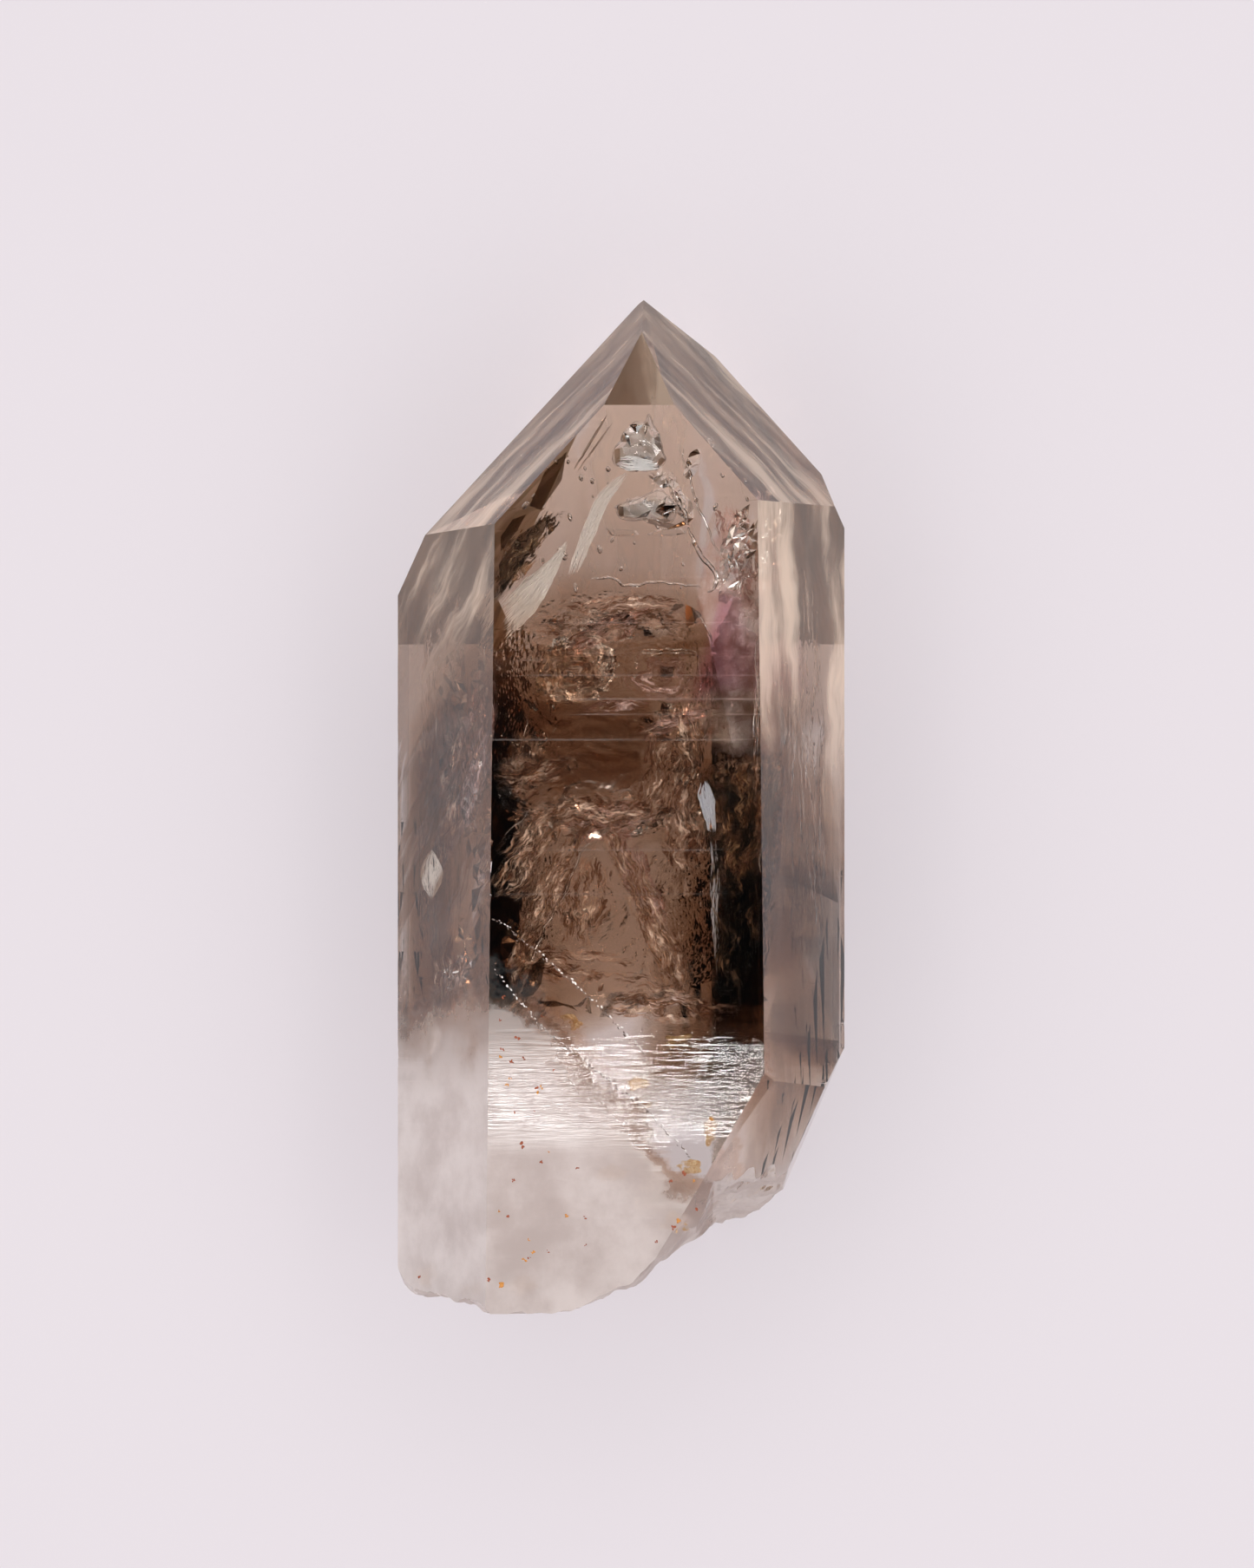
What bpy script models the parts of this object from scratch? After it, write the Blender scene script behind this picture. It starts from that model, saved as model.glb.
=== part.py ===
"""A single smoky quartz point, lying on one of its prism faces.

The crystal's long axis is Y, with the pointed end at +Y and the broken base at -Y. It rests on the prism face at
Z 0, and the origin is under the middle of its box. Blender units are metres; the sizes below are millimetres.
"""

import math

import bmesh
import bpy
from mathutils import Matrix, Vector, noise

MM = 0.001
# A point this near a face lies on it
ON_FACE = 0.001
# Two faces that turn less than this from each other are one flat face
FLAT = math.radians(0.05)

# Driving dimensions of the crystal
LENGTH = 60.0
WIDTH = 26.6
THICKNESS = 22.8

# Quartz habit: the prism faces stand 60 degrees apart, and a rhomb face leans 38.2 degrees from the long axis
PRISM_STEP = math.radians(60.0)
RHOMB_LEAN = math.radians(38.2)

# Where the two widest edges of the prism run, above the resting face
LEFT_EDGE_HEIGHT = 12.5
RIGHT_EDGE_HEIGHT = 13.6

# The upper prism face falls a little towards the base
TOP_FALL = math.radians(1.2)

# The point of the crystal, which is off the middle, and where the small top rhomb face meets the prism
APEX = Vector((1.35, LENGTH / 2, 16.0))
TOP_SHOULDER_Y = 23.6

# Corners where a large rhomb face, a side prism face and the upper prism face meet, and where its outer edge ends
LEFT_SHOULDER_Y = 16.6
LEFT_SHOULDER_OUT = Vector((-11.6, 16.1, 15.4))
RIGHT_SHOULDER_Y = 18.0
RIGHT_SHOULDER_OUT = Vector((12.7, 17.8, 14.6))

# The outline right of the point bends here, where the lower right rhomb face begins and ends
RIGHT_BEND = Vector((6.1, 26.2, 13.4))
RIGHT_CORNER = Vector((11.95, 19.7, 12.95))
# The small bevel below that corner runs out on the widest edge at this distance along the crystal
BEVEL_END_Y = 16.5
# How far the lower left rhomb face stands off the point
LEFT_RHOMB_STAND_OFF = 0.12

# Three small faces cut the right side of the base: an upper slanting one, a steep one and a narrow bevel
BASE_SLANT_POINT = Vector((9.0, -16.3, 21.0))
BASE_SLANT_NORMAL = Vector((0.748, -0.466, 0.472))
BASE_STEEP_POINT = Vector((12.1, -16.75, 15.6))
BASE_STEEP_NORMAL = Vector((0.907, -0.418, 0.056))
BASE_BEVEL_POINT = Vector((8.1, -16.5, 21.9))
BASE_BEVEL_NORMAL = Vector((0.689, -0.409, 0.598))

# Growth ledges across the prism: where each one lies along the crystal, how wide it is and how deep it is cut.
# Each has banks LEDGE_BANK wide. Each prism face lacks one ledge in SKIPPED, a different one from its neighbours.
LEDGES = (
    (11.6, 0.50, 0.07),
    (9.5, 0.70, 0.10),
    (8.8, 0.25, 0.06),
    (6.2, 0.35, 0.08),
    (3.7, 0.90, 0.10),
    (-2.7, 0.40, 0.06),
    (-6.4, 0.60, 0.09),
    (-9.0, 0.35, 0.07),
    (-11.4, 0.80, 0.12),
    (-13.2, 0.40, 0.10),
    (-15.0, 0.90, 0.14),
    (-17.1, 0.50, 0.12),
    (-19.3, 1.00, 0.16),
    (-21.7, 0.60, 0.12),
    (-24.2, 0.90, 0.14),
)
LEDGE_BANK = 0.12
SKIPPED = 3

# The broken base, seen from above: distance along the crystal at each place across it, high up and at the bottom
BREAK_ACROSS = (-16.0, -13.4, -12.8, -12.2, -10.6, -8.8, -7.6, -6.0, -3.0, 0.3, 2.4, 4.4, 5.6, 8.0, 10.6, 16.0)
BREAK_HIGH = (-24.0, -27.2, -28.6, -29.2, -29.3, -29.4, -30.2, -30.3, -29.7, -28.2, -26.6, -24.6, -21.8, -20.6, -20.2, -19.0)
BREAK_LOW = (-24.0, -27.2, -28.3, -28.6, -28.8, -28.9, -29.4, -29.8, -29.7, -28.8, -27.6, -26.3, -25.6, -25.1, -23.5, -17.0)
BREAK_STEPS_ACROSS = 46
BREAK_STEPS_UP = 38
BREAK_MARGIN = 3.0

# The break's relief: shell-like ripples round two blows, each with its centre across and up, its spacing and its
# height, which fade over RIPPLE_REACH, and lumps of three sizes, each with how many there are in a millimetre and
# their height
RIPPLES = (
    ((9.0, 16.0), 2.3, 0.26),
    ((-9.0, 5.0), 3.1, 0.18),
)
RIPPLE_REACH = 9.0
LUMPS = ((0.16, 0.50), (0.42, 0.36), (1.05, 0.16))
LUMP_PATTERN = 7.3


def prism_normal(turn):
    """The outward normal of the prism face at this many sixths of a turn above the right."""
    angle = PRISM_STEP * turn
    return Vector((math.cos(angle), 0, math.sin(angle)))


def rhomb_normal(turn):
    """The outward normal of the rhomb face over that prism face, at the pointed end."""
    return prism_normal(turn) * math.cos(RHOMB_LEAN) + Vector((0, math.sin(RHOMB_LEAN), 0))


def top_height(y):
    """The height of the upper prism face at a distance along the crystal."""
    return THICKNESS - (TOP_SHOULDER_Y - y) * math.tan(TOP_FALL)


def on_upper_side(side, y):
    """The point where the upper prism face meets the side face, left (-1) or right (1)."""
    edge = LEFT_EDGE_HEIGHT if side < 0 else RIGHT_EDGE_HEIGHT
    height = top_height(y)
    across = WIDTH / 2 - (height - edge) / math.tan(PRISM_STEP)
    return Vector((side * across, y, height))


def face_through(first, second, third, outward):
    """A plane through three points, as a point and the normal that leans the way of outward."""
    normal = (second - first).cross(third - first).normalized()
    return first, normal if normal.dot(outward) > 0 else -normal


def face_on_edge(first, second, nearly):
    """A plane that holds the edge between two points and leans as nearly as it can the given way."""
    edge = (second - first).normalized()
    return first, (nearly - edge * nearly.dot(edge)).normalized()


def prism_faces():
    """The six prism faces, named, each as a point and an outward normal."""
    left = Vector((-WIDTH / 2, 0, LEFT_EDGE_HEIGHT))
    right = Vector((WIDTH / 2, 0, RIGHT_EDGE_HEIGHT))
    top = Vector((0, -math.sin(TOP_FALL), math.cos(TOP_FALL)))
    return {
        "top": (Vector((0, TOP_SHOULDER_Y, THICKNESS)), top),
        "upper_right": (right, prism_normal(0.5)),
        "lower_right": (right, prism_normal(-0.5)),
        "bottom": (Vector((0, 0, 0)), Vector((0, 0, -1))),
        "lower_left": (left, prism_normal(-2.5)),
        "upper_left": (left, prism_normal(2.5)),
    }


def point_faces():
    """The faces of the pointed end."""
    lower_left = rhomb_normal(-2.5)
    bevel_end = Vector((WIDTH / 2, BEVEL_END_Y, RIGHT_EDGE_HEIGHT))
    left_corner = on_upper_side(-1, LEFT_SHOULDER_Y)
    right_corner = on_upper_side(1, RIGHT_SHOULDER_Y)
    return [
        (Vector((0, TOP_SHOULDER_Y, THICKNESS)), rhomb_normal(1.5)),
        face_through(APEX, left_corner, LEFT_SHOULDER_OUT, rhomb_normal(2.5)),
        face_through(APEX, right_corner, RIGHT_SHOULDER_OUT, rhomb_normal(0.5)),
        (APEX, rhomb_normal(-1.5)),
        face_on_edge(RIGHT_BEND, RIGHT_CORNER, rhomb_normal(-0.5)),
        face_on_edge(APEX + lower_left * LEFT_RHOMB_STAND_OFF, LEFT_SHOULDER_OUT, lower_left),
        face_through(RIGHT_CORNER, RIGHT_SHOULDER_OUT, bevel_end, Vector((1, 0.4, 0))),
    ]


def base_faces():
    """The three small faces that were left beside the break."""
    return [
        (BASE_SLANT_POINT, BASE_SLANT_NORMAL.normalized()),
        (BASE_STEEP_POINT, BASE_STEEP_NORMAL.normalized()),
        (BASE_BEVEL_POINT, BASE_BEVEL_NORMAL.normalized()),
    ]


def cut_block(faces):
    """A block cut down to the inside of all the faces, which is what the crystal was before it broke."""
    block = bmesh.new()
    bmesh.ops.create_cube(block, size=1, matrix=Matrix.Diagonal((2 * LENGTH, 2 * LENGTH, 2 * LENGTH, 1)))
    for point, normal in faces:
        everything = [*block.verts, *block.edges, *block.faces]
        cut = bmesh.ops.bisect_plane(block, geom=everything, plane_co=point, plane_no=normal, clear_outer=True)
        rim = [edge for edge in cut["geom_cut"] if isinstance(edge, bmesh.types.BMEdge)]
        bmesh.ops.contextual_create(block, geom=rim)
    bmesh.ops.dissolve_limit(block, angle_limit=FLAT, verts=block.verts, edges=block.edges)
    return block


def ledge_depth(y, face):
    """How far a prism face, by its number, stands back at a distance along the crystal."""
    for number, (middle, width, depth) in enumerate(LEDGES):
        away = abs(y - middle)
        if away < width / 2 + LEDGE_BANK and (number + face) % SKIPPED:
            return depth * min(1, (width / 2 + LEDGE_BANK - away) / LEDGE_BANK)
    return 0.0


def set_back(met):
    """The move that sets a point back from the faces it lies on, one or two, each a normal and a depth."""
    if len(met) == 1:
        (normal, depth), = met
        return -normal * depth
    (first, depth), (second, other_depth) = met
    cosine = first.dot(second)
    along_first = (cosine * other_depth - depth) / (1 - cosine * cosine)
    along_second = (cosine * depth - other_depth) / (1 - cosine * cosine)
    return first * along_first + second * along_second


def cut_ledges(block, prism, others):
    """Slices the crystal across at each ledge and sets the prism faces back there, but not the resting face or the
    faces of the ends. The edges stay sharp, because a point on two faces moves along the one that is still."""
    for middle, width, _ in LEDGES:
        for y in (-width / 2 - LEDGE_BANK, -width / 2, width / 2, width / 2 + LEDGE_BANK):
            everything = [*block.verts, *block.edges, *block.faces]
            bmesh.ops.bisect_plane(block, geom=everything, plane_co=(0, middle + y, 0), plane_no=(0, 1, 0))
    stepped = [face for name, face in prism.items() if name != "bottom"]
    still = [prism["bottom"], *others]
    for vertex in block.verts:
        met = [
            (normal, ledge_depth(vertex.co.y, number) if number < len(stepped) else 0.0)
            for number, (point, normal) in enumerate([*stepped, *still])
            if abs((vertex.co - point).dot(normal)) < ON_FACE
        ]
        if 0 < len(met) < 3:
            vertex.co += set_back(met)


def between(places, values, x):
    """The value at x on a line through the places, eased so that it has no sharp bends."""
    for i in range(len(places) - 1):
        if x <= places[i + 1]:
            share = (x - places[i]) / (places[i + 1] - places[i])
            eased = share * share * (3 - 2 * share)
            return values[i] + (values[i + 1] - values[i]) * (share + eased) / 2
    return values[-1]


def break_y(x, z):
    """Where the broken surface lies along the crystal, at a place across it and a height."""
    up = min(1, max(0, z / THICKNESS))
    y = between(BREAK_ACROSS, BREAK_LOW, x) * (1 - up) + between(BREAK_ACROSS, BREAK_HIGH, x) * up
    for (centre_x, centre_z), spacing, height in RIPPLES:
        far = math.hypot(x - centre_x, z - centre_z)
        y += height * math.cos(2 * math.pi * far / spacing) * math.exp(-far / RIPPLE_REACH)
    for pitch, height in LUMPS:
        y += height * noise.noise(Vector((x * pitch, LUMP_PATTERN, z * pitch)))
    return max(y, -LENGTH / 2)


def break_cutter():
    """A closed block whose inner side is the broken surface. It is cut away, so it isn't shown."""
    reach = WIDTH / 2 + BREAK_MARGIN
    low, high = -BREAK_MARGIN, THICKNESS + BREAK_MARGIN
    cutter = bmesh.new()
    near, far = [], []
    for i in range(BREAK_STEPS_ACROSS + 1):
        x = -reach + 2 * reach * i / BREAK_STEPS_ACROSS
        column = [low + (high - low) * k / BREAK_STEPS_UP for k in range(BREAK_STEPS_UP + 1)]
        near.append([cutter.verts.new((x, break_y(x, z), z)) for z in column])
        far.append([cutter.verts.new((x, -2 * LENGTH, z)) for z in column])
    for i in range(BREAK_STEPS_ACROSS):
        for k in range(BREAK_STEPS_UP):
            for layer in (near, far):
                a, b, c, d = layer[i][k], layer[i + 1][k], layer[i + 1][k + 1], layer[i][k + 1]
                cutter.faces.new((a, b, c))
                cutter.faces.new((a, c, d))
    rim = [edge for edge in cutter.edges if edge.is_boundary]
    bmesh.ops.bridge_loops(cutter, edges=rim)
    bmesh.ops.recalc_face_normals(cutter, faces=cutter.faces)
    return cutter


def as_object(name, shape):
    """Puts a shape made in millimetres into the scene, in metres."""
    bmesh.ops.scale(shape, vec=(MM, MM, MM), verts=shape.verts)
    mesh = bpy.data.meshes.new(name)
    shape.to_mesh(mesh)
    shape.free()
    made = bpy.data.objects.new(name, mesh)
    bpy.context.scene.collection.objects.link(made)
    return made


def smoky_quartz():
    """Clear brown-grey quartz, greyer and milkier towards the base."""
    material = bpy.data.materials.new("smoky_quartz")
    material.use_nodes = True
    shader = material.node_tree.nodes["Principled BSDF"]
    shader.inputs["Base Color"].default_value = (0.56, 0.47, 0.42, 1)
    shader.inputs["Roughness"].default_value = 0.05
    shader.inputs["Metallic"].default_value = 0.0
    shader.inputs["IOR"].default_value = 1.544
    shader.inputs["Transmission Weight"].default_value = 1.0
    return material


def clear_scene():
    for thing in list(bpy.data.objects):
        bpy.data.objects.remove(thing)


def main():
    clear_scene()
    prism = prism_faces()
    ends = [*point_faces(), *base_faces()]
    block = cut_block([*prism.values(), *ends])
    cut_ledges(block, prism, ends)
    crystal = as_object("quartz_crystal", block)
    crystal.data.materials.append(smoky_quartz())

    cutter = as_object("base_break", break_cutter())
    cutter.hide_render = True
    cutter.display_type = "WIRE"
    broken = crystal.modifiers.new("broken_base", "BOOLEAN")
    broken.operation = "DIFFERENCE"
    broken.solver = "EXACT"
    broken.object = cutter


main()
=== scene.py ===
# %% [markdown]
# # A smoky quartz crystal with water inside
#
# This lesson dresses one natural crystal. Its plain solid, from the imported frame, has the true outline, the
# six prism faces, the faces of the point and the broken base. Here the crystal gets what the eye finds
# next: striations on its faces, smoky zones and veils inside, hollows that hold water and gas, a milky base
# and specks of iron rust.
#
# Quartz is clear, so most of what the photograph shows lies inside or behind the stone. The surest way to
# get that look is to build the real things, each as a closed mesh with the refraction and the absorption of
# the real material, and to let the light find its way through them.

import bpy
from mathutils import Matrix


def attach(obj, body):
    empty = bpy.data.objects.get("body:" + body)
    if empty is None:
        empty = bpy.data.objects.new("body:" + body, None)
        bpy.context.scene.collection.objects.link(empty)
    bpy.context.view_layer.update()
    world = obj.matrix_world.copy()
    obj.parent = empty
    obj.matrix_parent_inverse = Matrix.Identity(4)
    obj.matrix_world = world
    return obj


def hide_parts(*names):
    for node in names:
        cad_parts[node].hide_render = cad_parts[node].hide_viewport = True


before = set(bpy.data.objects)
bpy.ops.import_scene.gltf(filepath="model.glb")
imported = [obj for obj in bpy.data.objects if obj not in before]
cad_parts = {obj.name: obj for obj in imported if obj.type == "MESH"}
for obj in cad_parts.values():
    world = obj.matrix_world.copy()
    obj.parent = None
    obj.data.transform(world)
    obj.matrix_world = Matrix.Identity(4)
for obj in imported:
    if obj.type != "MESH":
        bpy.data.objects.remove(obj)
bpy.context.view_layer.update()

# %% [markdown]
# ## Units and small helpers
#
# A crystal of 60 mm is easiest to think about in millimetres. So every shape is worked out in millimetres,
# and one helper turns it into a Blender object in metres, which is the unit of the frame.

# %% Units and helpers
import math
import random

import bmesh
import bpy
import numpy as np
from mathutils import Matrix, Vector, noise
from mathutils.geometry import delaunay_2d_cdt

MM = 0.001
NOISE_SEED = 7
# Without a seed, noise.noise_vector gives other values in each run
noise.seed_set(NOISE_SEED)


def plain_object(name, shape):
    """Turns a bmesh made in millimetres into an object in metres."""
    bmesh.ops.scale(shape, vec=(MM, MM, MM), verts=shape.verts)
    mesh = bpy.data.meshes.new(name)
    shape.to_mesh(mesh)
    shape.free()
    made = bpy.data.objects.new(name, mesh)
    bpy.context.scene.collection.objects.link(made)
    return made


def dress(piece, material):
    """Makes an object a piece that takes its place in the crystal and moves with it."""
    piece.data.materials.clear()
    piece.data.materials.append(material)
    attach(piece, "root")
    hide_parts("quartz_crystal")


def new_object(name, shape, material):
    """Turns a bmesh made in millimetres into a dressed piece."""
    dress(plain_object(name, shape), material)


def smooth_step(low, high, x):
    """0 below low, 1 above high, and an even S between them."""
    share = np.clip((np.asarray(x, float) - low) / (high - low), 0, 1)
    return share * share * (3 - 2 * share)

# %% [markdown]
# ## The faces of the crystal
#
# Quartz always keeps its angles. The six prism faces stand 60 degrees apart, and the rhomb faces of the
# point lean 38.2 degrees from the long axis. Each face is a plane, stored as a point and an outward normal.
# The crystal is what is left of a block when all of these planes have cut it.
#
# The planes are the same as the solid's. They could be measured from the frame's mesh, but planes written
# down by name are exact, and a reader can see which face each of them is.

# %% Planes of the crystal
LENGTH = 60.0
WIDTH = 26.6
THICKNESS = 22.8
PRISM_STEP = math.radians(60.0)
RHOMB_LEAN = math.radians(38.2)
TOP_FALL = math.radians(1.2)
LEFT_EDGE_HEIGHT = 12.5
RIGHT_EDGE_HEIGHT = 13.6
APEX = Vector((1.35, LENGTH / 2, 16.0))
TOP_SHOULDER_Y = 23.6
LEFT_SHOULDER_Y = 16.6
LEFT_SHOULDER_OUT = Vector((-11.6, 16.1, 15.4))
RIGHT_SHOULDER_Y = 18.0
RIGHT_SHOULDER_OUT = Vector((12.7, 17.8, 14.6))
RIGHT_BEND = Vector((6.1, 26.2, 13.4))
RIGHT_CORNER = Vector((11.95, 19.7, 12.95))
BEVEL_END = Vector((WIDTH / 2, 16.5, RIGHT_EDGE_HEIGHT))
LEFT_RHOMB_STAND_OFF = 0.12


def prism_normal(turn):
    """The outward normal of the prism face at this many sixths of a turn above the right."""
    return Vector((math.cos(PRISM_STEP * turn), 0, math.sin(PRISM_STEP * turn)))


def rhomb_normal(turn):
    """The outward normal of the rhomb face over that prism face, at the pointed end."""
    return prism_normal(turn) * math.cos(RHOMB_LEAN) + Vector((0, math.sin(RHOMB_LEAN), 0))


def top_height(y):
    """The height of the upper prism face, which falls a little towards the base."""
    return THICKNESS - (TOP_SHOULDER_Y - y) * math.tan(TOP_FALL)


def on_upper_side(side, y):
    """The point where the upper prism face meets the side face, left (-1) or right (1)."""
    edge = LEFT_EDGE_HEIGHT if side < 0 else RIGHT_EDGE_HEIGHT
    across = WIDTH / 2 - (top_height(y) - edge) / math.tan(PRISM_STEP)
    return Vector((side * across, y, top_height(y)))


def face_through(first, second, third, outward):
    """A plane through three points, whose normal leans the way of outward."""
    normal = (second - first).cross(third - first).normalized()
    return first, normal if normal.dot(outward) > 0 else -normal


def face_on_edge(first, second, nearly):
    """A plane that holds the edge between two points and leans as nearly as it can the given way."""
    edge = (second - first).normalized()
    return first, (nearly - edge * nearly.dot(edge)).normalized()


LEFT = Vector((-WIDTH / 2, 0, LEFT_EDGE_HEIGHT))
RIGHT = Vector((WIDTH / 2, 0, RIGHT_EDGE_HEIGHT))
PRISM = {
    "top": (Vector((0, TOP_SHOULDER_Y, THICKNESS)), Vector((0, -math.sin(TOP_FALL), math.cos(TOP_FALL)))),
    "upper_right": (RIGHT, prism_normal(0.5)),
    "lower_right": (RIGHT, prism_normal(-0.5)),
    "lower_left": (LEFT, prism_normal(-2.5)),
    "upper_left": (LEFT, prism_normal(2.5)),
    "bottom": (Vector((0, 0, 0)), Vector((0, 0, -1))),
}
RHOMBS = [
    (Vector((0, TOP_SHOULDER_Y, THICKNESS)), rhomb_normal(1.5)),
    face_through(APEX, on_upper_side(-1, LEFT_SHOULDER_Y), LEFT_SHOULDER_OUT, rhomb_normal(2.5)),
    face_through(APEX, on_upper_side(1, RIGHT_SHOULDER_Y), RIGHT_SHOULDER_OUT, rhomb_normal(0.5)),
    (APEX, rhomb_normal(-1.5)),
    face_on_edge(RIGHT_BEND, RIGHT_CORNER, rhomb_normal(-0.5)),
    face_on_edge(APEX + rhomb_normal(-2.5) * LEFT_RHOMB_STAND_OFF, LEFT_SHOULDER_OUT, rhomb_normal(-2.5)),
    face_through(RIGHT_CORNER, RIGHT_SHOULDER_OUT, BEVEL_END, Vector((1, 0.4, 0))),
]
BASE_FACES = [
    (Vector((9.0, -16.3, 21.0)), Vector((0.748, -0.466, 0.472)).normalized()),
    (Vector((12.1, -16.75, 15.6)), Vector((0.907, -0.418, 0.056)).normalized()),
    (Vector((8.1, -16.5, 21.9)), Vector((0.689, -0.409, 0.598)).normalized()),
]
print("faces:", len(PRISM), "prism,", len(RHOMBS), "at the point,", len(BASE_FACES), "beside the base")

# %% [markdown]
# ## Cutting the block
#
# Bisecting a cube once per plane, and filling each cut, gives a closed crystal with perfectly sharp edges.
# The same function also makes the smoky zones later on, because a zone is an older and smaller shape of the
# same crystal.

# %% Cut a block by planes
def cut_block(faces):
    """The part of a large block that is inside every plane, as a closed bmesh."""
    block = bmesh.new()
    bmesh.ops.create_cube(block, size=1, matrix=Matrix.Diagonal((2 * LENGTH, 2 * LENGTH, 2 * LENGTH, 1)))
    for point, normal in faces:
        everything = [*block.verts, *block.edges, *block.faces]
        cut = bmesh.ops.bisect_plane(
            block, geom=everything, plane_co=point, plane_no=normal, clear_outer=True
        )
        rim = [edge for edge in cut["geom_cut"] if isinstance(edge, bmesh.types.BMEdge)]
        bmesh.ops.contextual_create(block, geom=rim)
    return block


def slice_block(block, point, normal):
    """Cuts across every face that the plane meets, and keeps both sides."""
    everything = [*block.verts, *block.edges, *block.faces]
    bmesh.ops.bisect_plane(block, geom=everything, plane_co=point, plane_no=normal)

# %% [markdown]
# ## Striations
#
# A prism face of quartz grows in steps, and the steps stay as fine lines across the face, at right angles
# to the long axis. Each line is a tiny ledge: a short steep bank, then a long slope back to the face.
#
# Clear stone shows the ledges of its far side too, so they're real shape here. In one band near the base
# they stand close together and glitter. Each ledge has its own place, depth and reach, drawn from a fixed
# seed.

# %% Where the ledges lie
# Distance along the crystal, width and depth of the widest ledges, which the solid has too
LEDGES = (
    (11.6, 0.50, 0.07), (9.5, 0.70, 0.10), (8.8, 0.25, 0.06), (6.2, 0.35, 0.08), (3.7, 0.90, 0.10),
    (-2.7, 0.40, 0.06), (-6.4, 0.60, 0.09), (-9.0, 0.35, 0.07), (-11.4, 0.80, 0.12), (-13.2, 0.40, 0.10),
    (-15.0, 0.90, 0.14), (-17.1, 0.50, 0.12), (-19.3, 1.00, 0.16), (-21.7, 0.60, 0.12), (-24.2, 0.90, 0.14),
)
LEDGE_BANK = 0.3
LEDGE_SOFTNESS = 0.08
SKIPPED = 3
ON_FACE = 0.001
ROW = 0.1
FINE_ROW = 0.05
FINE_BAND = (-20.6, -13.0)
COLUMNS = 26
# The few fine lines that catch the light on the upper face: place and slope of the bank
BRIGHT_LINES = (
    (10.7, 0.17), (8.9, 0.18), (8.5, 0.19), (7.6, 0.17), (6.2, 0.19), (5.3, 0.17), (3.8, 0.19),
    (-2.7, 0.17), (-5.3, 0.16)
)


def ledge_depth(y, face):
    """How far the wide ledges set a face back, by its number."""
    for number, (middle, width, depth) in enumerate(LEDGES):
        away = abs(y - middle)
        if away < width / 2 + LEDGE_BANK and (number + face) % SKIPPED:
            return depth * min(1, (width / 2 + LEDGE_BANK - away) / LEDGE_BANK)
    return 0.0


def growth_lines(face):
    """The fine ledges of a face: place, bank, slope, depth, and where across it each begins and ends."""
    chance = random.Random(100 + face)
    lines = [
        (y, 0.12, 0.5, 0.12 * slope, -9 + 3 * math.sin(9 * y), 6 + 3 * math.sin(7 * y))
        for y, slope in BRIGHT_LINES if face == 0
    ]
    y = -30.0
    while y < 23.5:
        dense = FINE_BAND[0] < y < FINE_BAND[1]
        bank = chance.uniform(0.12, 0.28) if dense else chance.uniform(0.06, 0.13)
        deep = bank * (chance.uniform(0.10, 0.24) if dense else chance.choice((0.03, 0.05, 0.07, 0.09)))
        slope = chance.uniform(0.04, 0.08) if dense else chance.uniform(0.3, 1.2)
        begin = chance.uniform(-9, 5) if dense or chance.random() < 0.4 else chance.uniform(-12, -4)
        reach = chance.uniform(1.5, 4) if dense else chance.uniform(2.5, 13)
        lines.append((y, bank, slope, deep, begin, begin + reach))
        y += chance.uniform(0.15, 0.45) if dense else chance.uniform(0.3, 1.3)
    return np.array(lines)


def fine_depth(lines, y, u):
    """The depth of the fine ledges at places along (y) and across (u) a face."""
    depth = np.zeros(len(y))
    for place, bank, slope, deep, begin, end in lines:
        along = place - y
        saw = np.where(along < 0, 1 + along / bank, 1 - along / slope)
        window = smooth_step(begin, begin + 1.5, u) * (1 - smooth_step(end - 1.5, end, u))
        depth = np.maximum(depth, deep * np.clip(saw, 0, 1) * window)
    return depth

# %% [markdown]
# ## Rows along the crystal
#
# The block is sliced into rows, and the points of each prism face are set back along its normal. A point on
# the edge of two faces moves so that it stays on both, which keeps every edge sharp. Displacement by a
# modifier would round the edges.

# %% Slice the block and set the rows back
def row_places():
    """Distances along the crystal at which the prism is sliced."""
    y = -LENGTH / 2 + 0.03
    places = []
    while y < LENGTH / 2 - 0.2:
        places.append(y)
        y += FINE_ROW if FINE_BAND[0] < y < FINE_BAND[1] else ROW
    return places


def set_back(block):
    """Moves every point of the sliced block by the depth of the faces that it is on."""
    names = list(PRISM)
    stepped = names[:-1]
    planes = [PRISM[name] for name in names] + RHOMBS + BASE_FACES
    places = np.array([vertex.co[:] for vertex in block.verts])
    on, depths = [], []
    for number, (point, normal) in enumerate(planes):
        on.append(np.abs((places - np.array(point)) @ np.array(normal)) < ON_FACE)
        depth = np.zeros(len(places))
        if number < len(stepped):
            across = np.array(normal.cross(Vector((0, 1, 0))))
            mine = on[-1]
            wide = [ledge_depth(y, number) * LEDGE_SOFTNESS for y in places[mine, 1]]
            depth[mine] = wide + fine_depth(growth_lines(number), places[mine, 1], places[mine] @ across)
        depths.append(depth)
    on = np.array(on)
    depths = np.array(depths)
    for vertex, met, depth in zip(block.verts, on.T, depths.T):
        numbers = np.flatnonzero(met)
        if len(numbers) == 1:
            vertex.co -= planes[numbers[0]][1] * depth[numbers[0]]
        elif len(numbers) == 2:
            a, b = numbers
            first, second = planes[a][1], planes[b][1]
            cosine = first.dot(second)
            spread = 1 - cosine * cosine
            vertex.co += first * ((cosine * depth[b] - depth[a]) / spread)
            vertex.co += second * ((cosine * depth[a] - depth[b]) / spread)


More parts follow.
